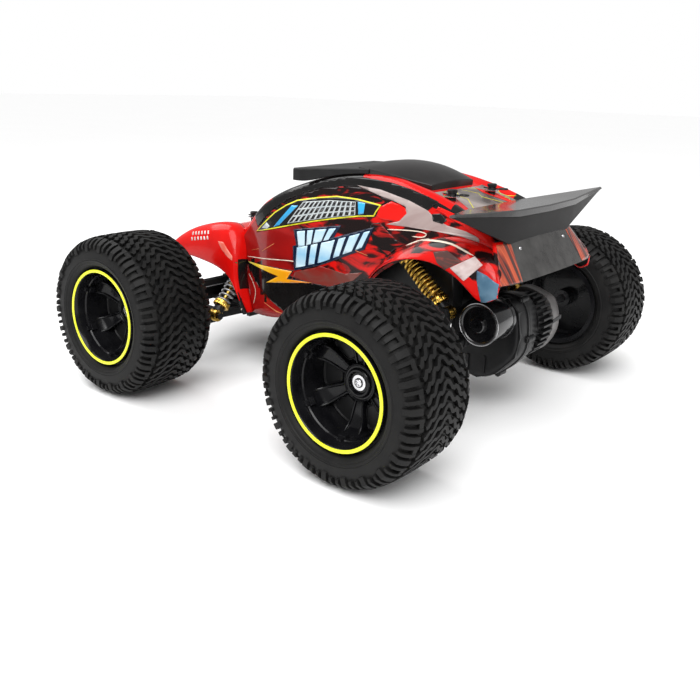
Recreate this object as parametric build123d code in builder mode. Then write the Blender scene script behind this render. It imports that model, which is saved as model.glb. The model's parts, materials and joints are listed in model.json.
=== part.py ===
from build123d import *
import math
import os

# Off-road remote control car, in millimetres.
# +X is forward, +Y is the car's left, +Z is up. The origin is on the ground, midway between the
# axles, under the centre line.

os.makedirs("parts", exist_ok=True)

# ---------------------------------------------------------------- driving dimensions
TYRE_D = 125.0
TYRE_W = 64.0
RIM_D = 75.0
WHEELBASE = 231.0
TRACK = 300.0
FRONT_X = WHEELBASE / 2
REAR_X = -WHEELBASE / 2
AXLE_Z = TYRE_D / 2
WHEEL_Y = TRACK / 2
RUN = 0.06          # radial clearance of a pin or shaft that turns in its bore
PIN_R = 1.5         # suspension pins

# front suspension: equal, parallel wishbones, so each upright stays vertical
ARM_IN_Y = 30.0
ARM_OUT_Y = 92.0
ARM_LOW_Z = 43.0
ARM_UP_Z = 72.0
KING_Y = 106.0
STUB_R = 2.5
KING_PIN_R = 2.0
LOW_ARM_X = (104.3, 126.7)      # lower arm's inner barrel
UP_ARM_X = (110.5, 120.5)       # upper arm's inner barrel
OUT_ARM_X = (109.5, 121.5)      # outer barrels of both arms
ARM_SHOULDER_Y = 84.0           # where the lower arm stops tapering
ARM_HALF_T = 3.0
ARM_BARREL_R = 4.5
OUT_BARREL_R = 4.0
UP_ARM_HALF = (3.0, 2.5)        # half width along X and half height
CHEEK_X = ((105.5, 109.2), (121.8, 125.5))
CARRIER_X = (107.5, 123.5)
CARRIER_Y = (96.5, 112.0)       # where the king pin's brackets start and end
KNUCKLE_Z = (53.3, 68.2)
PIN_HEAD_R = 2.8                # flange that keeps an eye on its pin
PIN_HEAD_T = 1.4

# steering
STEER_R = 14.0
STEER_X = FRONT_X + STEER_R
STEER_Z = 65.0
LINK_END_Y = 34.0
STEER_ANGLE = 25.0
SERVO_X = STEER_X + STEER_R
ROD_END_R = 4.9
BALL_CLEAR_R = 3.2              # bore of the tie rod's outer end, loose round its stud
SERVO_HUB_R = 2.4

# shocks: (x, y, z) of the eyes on the left side
FRONT_SHOCK_LOW = (97.0, 79.0, 48.0)
FRONT_SHOCK_TOP = (97.0, 34.0, 97.0)
REAR_SHOCK_LOW = (-113.0, 50.0, 86.0)
REAR_SHOCK_TOP = (-70.0, 50.0, 127.0)
EYE_R = 5.0
EYE_W = 8.0
SPRING_R = 5.6
SPRING_WIRE = 1.4
SEAT_R = 7.0
LOW_SEAT = 13.0                 # spring seats, measured from the lower and the upper eye
TOP_SEAT = 11.0
SPRING_COILS = 7
BARREL_R = 3.9
ROD_R = 1.6

# rear swing unit
SWING_X = -30.0
SWING_Z = 52.0
SWING_PIN_R = 2.0
AXLE_R = 3.0
TUBE_R = 4.6
BOX_HALF_W = 14.0
BOX_WALL = 2.2
TRAIL_Y = (30.0, 36.0)          # trailing arm, between its two faces
SWING_BARREL_R = 5.5
SHOCK_LUG_Y = (55.0, 58.7)      # lug outboard of the rear shock's lower eye
MOTOR_X = -134.5
MOTOR_Z = 77.5
MOTOR_R = 18.0
MOTOR_END_Y = 44.0

# gears
MODULE = 0.7
MOTOR_TEETH = 12
COUNTER_TEETH = 34
COUNTER_PINION_TEETH = 14
AXLE_TEETH = 40

# chassis
TUB_X = (-22.0, 98.0)
TUB_HALF_W = 33.0
TUB_Z = (46.4, 70.0)
TUB_WALL = 2.0
HATCH_Z = 44.0
HATCH_X = (-21.0, 64.0)
HATCH_HALF_W = 26.0
HATCH_SCREW_X = (-19.0, 61.5)
HATCH_SCREW_Y = 20.0
SCREW_R = 1.2
DECK_X = -82.0                  # rear end of the tub's deck
FRONT_TOWER_X = 84.0
REAR_TOWER_X = -80.0
UP_PIVOT_X = ((106.4, 110.2), (120.8, 124.6))
LOW_PIVOT_X = ((100.0, 104.0), (127.0, 131.0))

# body shell
SKIN = 1.6
ARCH_X = -111.0
ARCH_Z = 49.0
ARCH_R = 78.0
POST_R = 3.0
REAR_POST = (-98.0, 29.0)
FRONT_POST_X = 130.0
POST_HOLE_R = 3.5

SIDES = (("left", 1), ("right", -1))


def save(piece, label):
    """Name a finished piece and write it out."""
    piece.part.label = label
    export_step(piece.part, f"parts/{label}.step")


def along_x(x, y, z):
    """Plane across the X direction: local x is +Y, local y is +Z, and extrusion runs to +X."""
    return Plane(origin=(x, y, z), x_dir=(0, 1, 0), z_dir=(1, 0, 0))


def along_y(x, y, z):
    """Plane across the Y direction: local x is +X, local y is +Z, and extrusion runs to -Y."""
    return Plane(origin=(x, y, z), x_dir=(1, 0, 0), z_dir=(0, -1, 0))


def rod_x(x0, x1, y, z, r, mode=Mode.ADD):
    """Cylinder along X from x0 to x1."""
    with BuildSketch(along_x(x0, y, z)) as section:
        Circle(r)
    extrude(section.sketch, amount=x1 - x0, mode=mode)


def rod_y(y0, y1, x, z, r, mode=Mode.ADD):
    """Cylinder along Y from y0 to y1."""
    with BuildSketch(along_y(x, max(y0, y1), z)) as section:
        Circle(r)
    extrude(section.sketch, amount=abs(y1 - y0), mode=mode)


def rod_z(z0, z1, x, y, r, mode=Mode.ADD):
    """Cylinder along Z from z0 to z1."""
    with BuildSketch(Plane((x, y, z0))) as section:
        Circle(r)
    extrude(section.sketch, amount=z1 - z0, mode=mode)


def block(x, y, z, mode=Mode.ADD):
    """Box between the two limits given for each axis."""
    y = sorted(y)
    with BuildSketch(Plane(((x[0] + x[1]) / 2, (y[0] + y[1]) / 2, z[0]))) as section:
        Rectangle(x[1] - x[0], y[1] - y[0])
    extrude(section.sketch, amount=z[1] - z[0], mode=mode)


def plate_z(points, z, mode=Mode.ADD):
    """Flat plate with an outline in X and Y, between two heights."""
    with BuildSketch(Plane.XY.offset(z[0])) as section:
        with BuildLine():
            Polyline(*points, close=True)
        make_face()
    extrude(section.sketch, amount=z[1] - z[0], mode=mode)


def plate_y(points, y, mode=Mode.ADD):
    """Flat plate with an outline in X and Z, between two side positions."""
    with BuildSketch(along_y(0, max(y), 0)) as section:
        with BuildLine():
            Polyline(*points, close=True)
        make_face()
    extrude(section.sketch, amount=abs(y[1] - y[0]), mode=mode)


# ---------------------------------------------------------------- wheels
BARREL_OUT_R = 34.6
BARREL_IN_R = 33.0
RIM_IN = -27.5
RIM_OUT = 29.5
LIP_R = RIM_D / 2 - 0.3
HUB_R = 8.0
HUB_FACE = 3.5
SCREW_BORE_R = 1.25
SPOKES = 6
RIM_WINDOW = [(12.0, -0.30), (12.0, 0.30), (26.0, 0.36), (29.5, 0.28), (29.5, -0.28), (26.0, -0.36)]


def wheel_plane(x, side):
    """Plane through a wheel's axis: local x points outboard, local y is the radius."""
    return Plane(origin=(x, side * WHEEL_Y, AXLE_Z), x_dir=(0, side, 0), z_dir=(side, 0, 0))


def wheel_axis(x):
    return Axis((x, 0, AXLE_Z), (0, 1, 0))


def make_tyre(x, side, label):
    """Hollow rubber carcass with a square shoulder and a tread crown."""
    half = TYRE_W / 2
    top = TYRE_D / 2
    bead = 25.3
    with BuildPart() as tyre:
        with BuildSketch(wheel_plane(x, side)):
            with BuildLine():
                right = Polyline((bead, 35.0), (bead, 38.0), (half - 1.5, 40.0), (half, 47.0),
                                 (half - 0.5, 54.0), (half - 4.0, 60.5), (half - 9.0, 62.2), (0, top))
                mirror(right, about=Plane.YZ)
                inner = Polyline((bead, 35.0), (bead - 4.0, 35.0), (bead - 3.0, 40.5), (half - 5.0, 43.5),
                                 (half - 4.0, 49.0), (half - 6.0, 55.0), (half - 10.0, 57.0), (0, 57.6))
                mirror(inner, about=Plane.YZ)
            make_face()
        revolve(axis=wheel_axis(x))
    save(tyre, label)


def make_rim(x, side, bore_r, label):
    """Deep-dish rim: barrel with lips, a spoked disc near the middle and a hub."""
    plane = wheel_plane(x, side)
    with BuildPart() as rim:
        with BuildSketch(plane):
            with BuildLine():
                Polyline((RIM_IN, LIP_R), (RIM_IN + 1.8, LIP_R), (RIM_IN + 1.8, BARREL_OUT_R),
                         (RIM_OUT - 4.0, BARREL_OUT_R), (RIM_OUT - 4.0, LIP_R), (RIM_OUT, LIP_R),
                         (RIM_OUT, LIP_R - 1.6), (RIM_OUT - 3.0, BARREL_IN_R), (RIM_IN, BARREL_IN_R),
                         close=True)
            make_face()
            with Locations((0, (BARREL_IN_R + 0.8 + bore_r) / 2)):
                Rectangle(4.0, BARREL_IN_R + 0.8 - bore_r)
            with Locations(((HUB_FACE - 12.0) / 2, (HUB_R + bore_r) / 2)):
                Rectangle(HUB_FACE + 12.0, HUB_R - bore_r)
        revolve(axis=wheel_axis(x))
        window_plane = Plane(origin=(x, side * (WHEEL_Y + 3.0), AXLE_Z), x_dir=(1, 0, 0), z_dir=(0, -side, 0))
        with BuildSketch(window_plane) as windows:
            for spoke in range(SPOKES):
                turn = 2 * math.pi * spoke / SPOKES
                with BuildLine():
                    Polyline(*[(r * math.cos(turn + a), r * math.sin(turn + a)) for r, a in RIM_WINDOW],
                             close=True)
                make_face()
        extrude(amount=6.0, mode=Mode.SUBTRACT)
    save(rim, label)


def make_wheel_screws(places, label):
    """Pan-head screws that hold wheels on the ends of their axles."""
    with BuildPart() as screws:
        for x, side in places:
            face = side * (WHEEL_Y + HUB_FACE)
            rod_y(face + side * 0.3, face + side * 2.3, x, AXLE_Z, 3.3)
            rod_y(face + side * 0.3, face - side * 8.0, x, AXLE_Z, 1.2)
    save(screws, label)


for side_name, side in SIDES:
    make_tyre(FRONT_X, side, f"front_{side_name}_tyre")
    make_rim(FRONT_X, side, STUB_R + RUN, f"front_{side_name}_rim")
    make_wheel_screws([(FRONT_X, side)], f"front_{side_name}_wheel_screw")
    make_tyre(REAR_X, side, f"rear_{side_name}_tyre")
    make_rim(REAR_X, side, AXLE_R + 0.02, f"rear_{side_name}_rim")
make_wheel_screws([(REAR_X, 1), (REAR_X, -1)], "rear_wheel_screws")

# ---------------------------------------------------------------- front suspension
for side_name, side in SIDES:
    with BuildPart() as lower_arm:
        arm_z = (ARM_LOW_Z - ARM_HALF_T, ARM_LOW_Z + ARM_HALF_T)
        plate_z([(LOW_ARM_X[0], side * ARM_IN_Y), (LOW_ARM_X[1], side * ARM_IN_Y),
                 (OUT_ARM_X[1], side * ARM_SHOULDER_Y), (OUT_ARM_X[1], side * ARM_OUT_Y),
                 (OUT_ARM_X[0], side * ARM_OUT_Y), (OUT_ARM_X[0], side * ARM_SHOULDER_Y)], arm_z)
        plate_z([(110, side * 38), (121, side * 38), (118.5, side * 66), (112.5, side * 66)], arm_z,
                mode=Mode.SUBTRACT)
        rod_x(*LOW_ARM_X, side * ARM_IN_Y, ARM_LOW_Z, ARM_BARREL_R)
        rod_x(*OUT_ARM_X, side * ARM_OUT_Y, ARM_LOW_Z, OUT_BARREL_R)
        eye_x, eye_y, eye_z = FRONT_SHOCK_LOW
        lug_x = eye_x + EYE_W / 2 + 0.5
        head_x = eye_x - EYE_W / 2 - 1.5
        block((lug_x, lug_x + 10.5), (side * (eye_y - 6), side * (eye_y + 6)), (arm_z[0], eye_z + 5))
        rod_x(head_x, lug_x + 0.5, side * eye_y, eye_z, PIN_R)
        rod_x(head_x - 1.5, head_x, side * eye_y, eye_z, PIN_HEAD_R)
        rod_x(LOW_ARM_X[0] - 1, LOW_ARM_X[1] + 1, side * ARM_IN_Y, ARM_LOW_Z, PIN_R + RUN, mode=Mode.SUBTRACT)
        rod_x(OUT_ARM_X[0] - 1, OUT_ARM_X[1] + 1, side * ARM_OUT_Y, ARM_LOW_Z, PIN_R + RUN,
              mode=Mode.SUBTRACT)
    save(lower_arm, f"front_{side_name}_lower_arm")

    with BuildPart() as upper_arm:
        half_x, half_z = UP_ARM_HALF
        block((FRONT_X - half_x, FRONT_X + half_x), (side * (ARM_IN_Y + 3), side * (ARM_OUT_Y - 3)),
              (ARM_UP_Z - half_z, ARM_UP_Z + half_z))
        rod_x(*UP_ARM_X, side * ARM_IN_Y, ARM_UP_Z, OUT_BARREL_R)
        rod_x(*OUT_ARM_X, side * ARM_OUT_Y, ARM_UP_Z, OUT_BARREL_R)
        rod_x(UP_ARM_X[0] - 1, UP_ARM_X[1] + 1, side * ARM_IN_Y, ARM_UP_Z, PIN_R + RUN, mode=Mode.SUBTRACT)
        rod_x(OUT_ARM_X[0] - 1, OUT_ARM_X[1] + 1, side * ARM_OUT_Y, ARM_UP_Z, PIN_R + 0.35,
              mode=Mode.SUBTRACT)
    save(upper_arm, f"front_{side_name}_upper_arm")

    with BuildPart() as carrier:
        web_y, end_y = CARRIER_Y
        low_z, high_z = KNUCKLE_Z[0] - 4.3, KNUCKLE_Z[1] + 4.3
        cheek_y = (side * (ARM_OUT_Y - 4.5), side * web_y)
        block((CHEEK_X[0][0], CHEEK_X[1][1]), (side * (ARM_OUT_Y - 2), side * web_y), (low_z, 66.0))
        block(CARRIER_X, (side * (web_y - 0.1), side * (web_y + 2.5)), (low_z, high_z))
        for cheek in CHEEK_X:
            block(cheek, cheek_y, (ARM_LOW_Z - 4.5, low_z + 0.5))
            block(cheek, cheek_y, (65.5, ARM_UP_Z + 4.5))
        block(CARRIER_X, (side * (web_y + 1.5), side * end_y), (low_z, KNUCKLE_Z[0] - 0.3))
        block(CARRIER_X, (side * (web_y + 1.5), side * end_y), (KNUCKLE_Z[1] + 0.3, high_z))
        rod_x(CHEEK_X[0][0], CHEEK_X[1][1], side * ARM_OUT_Y, ARM_LOW_Z, PIN_R)
        rod_x(CHEEK_X[0][0], CHEEK_X[1][1], side * ARM_OUT_Y, ARM_UP_Z, PIN_R)
        rod_z(low_z - 1, high_z + 1, FRONT_X, side * KING_Y, KING_PIN_R + RUN, mode=Mode.SUBTRACT)
    save(carrier, f"front_{side_name}_hub_carrier")

    with BuildPart() as knuckle:
        rod_z(*KNUCKLE_Z, FRONT_X, side * KING_Y, 6.0)
        rod_z(KNUCKLE_Z[0] - 4.3, KNUCKLE_Z[1] + 4.3, FRONT_X, side * KING_Y, KING_PIN_R)
        rod_y(side * KING_Y, side * (WHEEL_Y + 2.0), FRONT_X, AXLE_Z, STUB_R)
        rod_y(side * KING_Y, side * (KING_Y + 12.0), FRONT_X, AXLE_Z, 5.5)
        block((FRONT_X + 2.5, STEER_X + 2.5), (side * (KING_Y - 2.5), side * (KING_Y + 2.5)), (57.0, 61.5))
        rod_z(61.0, STEER_Z + 4, STEER_X, side * KING_Y, PIN_R)
        rod_y(side * (WHEEL_Y - 10), side * (WHEEL_Y + 10), FRONT_X, AXLE_Z, SCREW_BORE_R, mode=Mode.SUBTRACT)
    save(knuckle, f"front_{side_name}_knuckle")

    with BuildPart() as tie_rod:
        rod_x(STEER_X - 2, STEER_X + 2, side * LINK_END_Y, STEER_Z, 3.4)
        rod_y(side * (LINK_END_Y + 2), side * (KING_Y - 4), STEER_X, STEER_Z, 1.7)
        rod_z(STEER_Z - 2, STEER_Z + 2, STEER_X, side * KING_Y, ROD_END_R)
        rod_x(STEER_X - 2.5, STEER_X + 2.5, side * LINK_END_Y, STEER_Z, PIN_R + RUN, mode=Mode.SUBTRACT)
        rod_z(STEER_Z - 3, STEER_Z + 3, STEER_X, side * KING_Y, BALL_CLEAR_R, mode=Mode.SUBTRACT)
    save(tie_rod, f"tie_rod_{side_name}")

# ---------------------------------------------------------------- steering
LINK_HALF_T = 2.2
FORK_HALF_X = 4.9               # half width of the fork that holds a tie rod's inner end
FORK_HALF_Z = 3.5
with BuildPart() as steering_link:
    bar_z = (STEER_Z - 2, STEER_Z + 2)
    fork_z = (STEER_Z - FORK_HALF_Z, STEER_Z + FORK_HALF_Z)
    block((STEER_X - LINK_HALF_T, STEER_X + LINK_HALF_T), (-29, 29), bar_z)
    block((STEER_X - 3.7, STEER_X + 5.1), (-5, 5), bar_z)
    for end in (1, -1):
        block((STEER_X - FORK_HALF_X, STEER_X + FORK_HALF_X),
              (end * (LINK_END_Y - 7.5), end * (LINK_END_Y - 4.5)), fork_z)
        for x0, x1 in ((-FORK_HALF_X, -2.3), (2.3, FORK_HALF_X)):
            block((STEER_X + x0, STEER_X + x1), (end * (LINK_END_Y - 5), end * (LINK_END_Y + 4)), fork_z)
        rod_x(STEER_X - FORK_HALF_X, STEER_X + FORK_HALF_X, end * LINK_END_Y, STEER_Z, PIN_R)
    block((STEER_X - 1.6, STEER_X + 3.1), (-1.5, 1.5), (STEER_Z - 3, STEER_Z + 3), mode=Mode.SUBTRACT)
save(steering_link, "steering_link")

with BuildPart() as servo_horn:
    horn_z = (68.5, 71.0)
    rod_z(66.3, horn_z[1], SERVO_X, 0, 4.5)
    rod_z(60.0, 66.5, SERVO_X, 0, SERVO_HUB_R)
    block((STEER_X, SERVO_X), (-3, 3), horn_z)
    rod_z(*horn_z, STEER_X, 0, 3.0)
    rod_z(61.8, 69.0, STEER_X, 0, 1.2)
save(servo_horn, "servo_horn")

with BuildPart() as steering_servo:
    block((SERVO_X - 6.5, SERVO_X + 18.5), (-10, 10), (HATCH_Z, 62.0))
    block((SERVO_X - 6.5, SERVO_X + 22.5), (-10, 10), (54.0, 56.5))
    rod_z(61.5, 66.0, SERVO_X, 0, 5.0)
    rod_z(59.0, 67.0, SERVO_X, 0, SERVO_HUB_R + RUN, mode=Mode.SUBTRACT)
save(steering_servo, "steering_servo")

# ---------------------------------------------------------------- chassis
with BuildPart() as chassis_tub:
    block(TUB_X, (-TUB_HALF_W, TUB_HALF_W), TUB_Z)
    block((TUB_X[0] + TUB_WALL, TUB_X[1] - TUB_WALL), (-TUB_HALF_W + TUB_WALL, TUB_HALF_W - TUB_WALL),
          (TUB_Z[0] + TUB_WALL, TUB_Z[1] + 1), mode=Mode.SUBTRACT)
    block((-16.0, 58.0), (-24, 24), (40.0, 60.0), mode=Mode.SUBTRACT)
    block((66.0, 80.0), (-2.2, 2.2), (40.0, 60.0), mode=Mode.SUBTRACT)
    for side in (1, -1):
        block((SWING_X - 6.0, TUB_X[0] + 0.5), (side * 18, side * (TRAIL_Y[0] - 0.5)), (TUB_Z[0], SWING_Z + 6))
        for x in HATCH_SCREW_X:
            rod_z(TUB_Z[0], TUB_Z[1] - 6, x, side * HATCH_SCREW_Y, SCREW_BORE_R, mode=Mode.SUBTRACT)
    block((DECK_X, TUB_X[0] + 1.0), (-HATCH_HALF_W, HATCH_HALF_W), (TUB_Z[1] - 6, TUB_Z[1]))
    rod_y(-30.0, 30.0, SWING_X, SWING_Z, SWING_PIN_R + 0.03, mode=Mode.SUBTRACT)
save(chassis_tub, "chassis_tub")

with BuildPart() as battery_hatch:
    block(HATCH_X, (-HATCH_HALF_W, HATCH_HALF_W), (HATCH_Z, TUB_Z[0]))
    block((-15.7, 57.7), (-23.7, 23.7), (TUB_Z[0], TUB_Z[0] + 1.6))
    for x in HATCH_SCREW_X:
        for side in (1, -1):
            rod_z(HATCH_Z - 1, TUB_Z[0] + 1, x, side * HATCH_SCREW_Y, SCREW_R + 0.1, mode=Mode.SUBTRACT)
            rod_z(HATCH_Z - 1, HATCH_Z + 1.4, x, side * HATCH_SCREW_Y, 2.7, mode=Mode.SUBTRACT)
save(battery_hatch, "battery_hatch")

with BuildPart() as chassis_screws:
    for x in HATCH_SCREW_X:
        for side in (1, -1):
            rod_z(HATCH_Z + 0.2, HATCH_Z + 1.4, x, side * HATCH_SCREW_Y, 2.4)
            rod_z(HATCH_Z + 0.4, TUB_Z[0] + 1.9, x, side * HATCH_SCREW_Y, SCREW_R)
save(chassis_screws, "chassis_screws")

with BuildPart() as battery_pack:
    block((-12.0, 54.0), (-22, 22), (48.4, 66.0))
    fillet(battery_pack.edges().filter_by(Axis.X), 4.0)
save(battery_pack, "battery_pack")

with BuildPart() as circuit_board:
    block((-12.0, 62.0), (-TUB_HALF_W, TUB_HALF_W), (TUB_Z[1], TUB_Z[1] + 1.6))
    for x, y, w, d, h in ((5, 10, 12, 12, 2), (30, -8, 10, 16, 3), (48, 14, 8, 8, 6), (10, -16, 7, 7, 8)):
        block((x - w / 2, x + w / 2), (y - d / 2, y + d / 2), (TUB_Z[1] + 1.5, TUB_Z[1] + 1.5 + h))
save(circuit_board, "circuit_board")

with BuildPart() as power_switch:
    block((67.0, 73.0), (-2.0, 2.0), (45.2, 48.8))
    block((64.5, 75.5), (-4.0, 4.0), (48.6, 50.4))
save(power_switch, "power_switch")

with BuildPart() as front_bulkhead:
    block((98.0, 133.0), (-22, 22), (37.0, 50.0))
    block((104.0, 125.0), (-20, 20), (49.5, 86.0))
    for side in (1, -1):
        for lug in LOW_PIVOT_X:
            block(lug, (side * 21, side * (ARM_IN_Y + 5)), (37.0, 48.5))
        for lug in UP_PIVOT_X:
            block(lug, (side * 19, side * (ARM_IN_Y + 5)), (ARM_UP_Z - 5.0, ARM_UP_Z + 5.0))
        rod_x(99.0, 132.0, side * ARM_IN_Y, ARM_LOW_Z, PIN_R + 0.03, mode=Mode.SUBTRACT)
        rod_x(106.0, 125.0, side * ARM_IN_Y, ARM_UP_Z, PIN_R + 0.03, mode=Mode.SUBTRACT)
save(front_bulkhead, "front_bulkhead")

with BuildPart() as suspension_pins:
    for side in (1, -1):
        rod_x(LOW_PIVOT_X[0][0], LOW_PIVOT_X[1][1], side * ARM_IN_Y, ARM_LOW_Z, PIN_R)
        rod_x(UP_PIVOT_X[0][0], UP_PIVOT_X[1][1], side * ARM_IN_Y, ARM_UP_Z, PIN_R)
        rod_y(side * (TRAIL_Y[1] + 1), side * (TRAIL_Y[1] + 2.5), SWING_X, SWING_Z, 3.5)
    rod_y(-TRAIL_Y[1] - 2, TRAIL_Y[1] + 2, SWING_X, SWING_Z, SWING_PIN_R)
save(suspension_pins, "suspension_pins")

with BuildPart() as front_bumper:
    block((133.0, 172.0), (-22, 22), (40.0, 44.0))
    plate_z([(166, -34), (173, -26), (175.5, 0), (173, 26), (166, 34), (162, 34), (162, -34)], (40.0, 52.0))
    block((163.0, 168.0), (-26, 26), (44.0, 53.0), mode=Mode.SUBTRACT)
save(front_bumper, "front_bumper")

with BuildPart() as front_shock_tower:
    with BuildSketch(along_x(FRONT_TOWER_X, 0, 0)):
        with BuildLine():
            Polyline((-26, TUB_Z[1]), (26, TUB_Z[1]), (30, 84), (41, 94), (41, 102), (-41, 102), (-41, 94),
                     (-30, 84), close=True)
        make_face()
    extrude(amount=4.5)
    for side in (1, -1):
        eye_x, eye_y, eye_z = FRONT_SHOCK_TOP
        rod_x(FRONT_TOWER_X + 4, eye_x + 5, side * eye_y, eye_z, PIN_R)
        rod_x(eye_x + 4.6, eye_x + 4.6 + PIN_HEAD_T, side * eye_y, eye_z, PIN_HEAD_R)
save(front_shock_tower, "front_shock_tower")

with BuildPart() as rear_shock_tower:
    with BuildSketch(along_x(REAR_TOWER_X, 0, 0)):
        with BuildLine():
            Polyline((-26, TUB_Z[1]), (26, TUB_Z[1]), (28, 98), (42, 118), (42, 132), (16, 132), (12, 108),
                     (-12, 108), (-16, 132), (-42, 132), (-42, 118), (-28, 98), close=True)
        make_face()
    extrude(amount=5.0)
    for side in (1, -1):
        eye_x, eye_y, eye_z = REAR_SHOCK_TOP
        block((REAR_TOWER_X + 4, eye_x + 4), (side * (eye_y - 12), side * (eye_y - 5)), (eye_z - 5, eye_z + 5))
        rod_y(side * (eye_y - 6), side * (eye_y + 6), eye_x, eye_z, PIN_R)
        rod_y(side * (eye_y + 4.6), side * (eye_y + 4.6 + PIN_HEAD_T), eye_x, eye_z, PIN_HEAD_R)
save(rear_shock_tower, "rear_shock_tower")

CLIP_HOLE_R = 0.9
REAR_CLIP_Z = 167.0
FRONT_CLIP_Z = 121.0
with BuildPart() as body_posts:
    for side in (1, -1):
        x, y = REAR_POST[0], side * REAR_POST[1]
        block((x - 4, -80.0), (y - 4, y + 4), (120.0, 125.0))
        rod_z(120.0, REAR_CLIP_Z + 3.5, x, y, POST_R)
        rod_x(x - 5, x + 5, y, REAR_CLIP_Z, CLIP_HOLE_R, mode=Mode.SUBTRACT)
    block((108.0, FRONT_POST_X + 4), (-6, 6), (86.0, 89.5))
    rod_z(86.0, FRONT_CLIP_Z + 3.5, FRONT_POST_X, 0, POST_R)
    rod_x(FRONT_POST_X - 5, FRONT_POST_X + 5, 0, FRONT_CLIP_Z, CLIP_HOLE_R, mode=Mode.SUBTRACT)
save(body_posts, "body_posts")

CLIP_WIRE_R = 0.6
with BuildPart() as body_clips:
    for x, y, z in ((REAR_POST[0], REAR_POST[1], REAR_CLIP_Z), (REAR_POST[0], -REAR_POST[1], REAR_CLIP_Z),
                    (FRONT_POST_X, 0, FRONT_CLIP_Z)):
        rod_x(x - 8, x + 7, y, z, CLIP_WIRE_R)
        with BuildSketch(Plane(origin=(x - 8, y, z), x_dir=(0, 1, 0), z_dir=(1, 0, 0))):
            Circle(CLIP_WIRE_R)
        revolve(axis=Axis((x - 8, y - 3.2, z), (0, 0, 1)), revolution_arc=270)
save(body_clips, "body_clips")


# ---------------------------------------------------------------- body shell
def side_profile(dx, dz):
    """Face of the cabin and tail in X and Z, shifted by dx and dz."""
    rail = [(99.0, 115.5), (80.0, 133.0), (62.0, 148.0), (37.0, 161.0), (-1.0, 173.0), (-33.0, 177.0),
            (-67.0, 172.5), (-101.0, 163.0), (-122.0, 156.0)]
    arch_tail = (-165.0, ARCH_Z + math.sqrt(ARCH_R**2 - 54.0**2))
    arch_top = (ARCH_X, ARCH_Z + ARCH_R)
    arch_front = (ARCH_X + math.sqrt(ARCH_R**2 - 1.0), 50.0)
    with BuildSketch(along_y(dx, 70, dz)) as profile:
        with BuildLine():
            Polyline(arch_front, (66.0, 50.0), (72.0, 76.0), (84.0, 96.0), (99.0, 115.5))
            Spline(*rail)
            Polyline((-122.0, 156.0), (-153.0, 141.0), (-167.0, 118.0), arch_tail)
            ThreePointArc(arch_tail, arch_top, arch_front)
        make_face()
    return profile.sketch


def cabin(inset, dx, dz):
    """Cabin volume: side outline, cut to the front view's and the top view's widths."""
    with BuildPart() as volume:
        extrude(side_profile(dx, dz), amount=140)
        with BuildSketch(along_x(-180, 0, 0)):
            with BuildLine():
                Polyline((-57 + inset, 40), (57 - inset, 40), (62 - inset, 95), (60 - inset, 120),
                         (50 - inset, 163), (44 - inset, 180), (-44 + inset, 180), (-50 + inset, 163),
                         (-60 + inset, 120), (-62 + inset, 95), close=True)
            make_face()
        extrude(amount=300, mode=Mode.INTERSECT)
        with BuildSketch(Plane.XY):
            with BuildLine():
                Polyline((105, 46 - inset), (60, 58 - inset), (20, 63 - inset), (-90, 63 - inset),
                         (-135, 56 - inset), (-175, 50 - inset), (-175, -50 + inset), (-135, -56 + inset),
                         (-90, -63 + inset), (20, -63 + inset), (60, -58 + inset), (105, -46 + inset),
                         close=True)
            make_face()
        extrude(amount=200, mode=Mode.INTERSECT)
    return volume.part


def rear_fender(side, inset, dx, dz):
    """Flared fender over a rear wheel, between the arch lip and the shoulder crease."""
    with BuildPart() as volume:
        with BuildSketch(along_y(dx, max(side * 40, side * (80 - inset)), dz)):
            with BuildLine():
                Spline((-55, 108), (-72, 121), (-95, 133), (-128, 146), (-146, 143))
                Polyline((-146, 143), (-160, 134), (-171, 118), (-166, ARCH_Z + math.sqrt(ARCH_R**2 - 55.0**2)))
                ThreePointArc((-166, ARCH_Z + math.sqrt(ARCH_R**2 - 55.0**2)), (ARCH_X, ARCH_Z + ARCH_R),
                              (-55, ARCH_Z + math.sqrt(ARCH_R**2 - 56.0**2)))
                Line((-55, ARCH_Z + math.sqrt(ARCH_R**2 - 56.0**2)), (-55, 108))
            make_face()
        extrude(amount=40 - inset)
    return volume.part


def front_fender(side, inset, dx, dz):
    """Fender over a front wheel, from its crest down to the sill behind the wheel."""
    with BuildPart() as volume:
        with BuildSketch(along_y(dx, max(side * 30, side * (67 - inset)), dz)):
            with BuildLine():
                Spline((175, 100), (150, 114), (130, 119), (110, 123), (94, 125))
                Polyline((94, 125), (86, 112), (78, 95), (70, 76), (64, 50), (74, 50), (83, 61), (97, 72))
                Spline((97, 72), (112, 81), (132, 86), (158, 90), (175, 92))
                Line((175, 92), (175, 100))
            make_face()
        extrude(amount=37 - inset)
    return volume.part


def hood(inset, dx, dz):
    """Sloping hood and nose between the front fenders."""
    with BuildPart() as volume:
        with BuildSketch(along_y(dx, 46 - inset, dz)):
            with BuildLine():
                Spline((90, 118), (112, 118.5), (130, 116), (160, 106), (176, 94))
                Polyline((176, 94), (176, 84), (150, 84), (90, 84), (90, 118))
            make_face()
        extrude(amount=92 - 2 * inset)
    return volume.part


def body_volume(inset, shifts):
    """All body volumes at one inset, each the common part of its shifted copies."""
    pieces = []
    makers = [cabin, hood]
    for maker in makers:
        copies = [maker(inset, dx, dz) for dx, dz in shifts]
        pieces.append(copies)
    for maker in (rear_fender, front_fender):
        for side in (1, -1):
            copies = [maker(side, inset, dx, dz) for dx, dz in shifts]
            pieces.append(copies)
    with BuildPart() as volume:
        for copies in pieces:
            common = copies[0]
            for copy in copies[1:]:
                common = common & copy
            add(common)
    return volume.part


outer_body = body_volume(0.0, [(0.0, 0.0)])
inner_body = body_volume(SKIN, [(-SKIN, -SKIN * 1.4), (SKIN, -SKIN * 1.4)])

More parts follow.
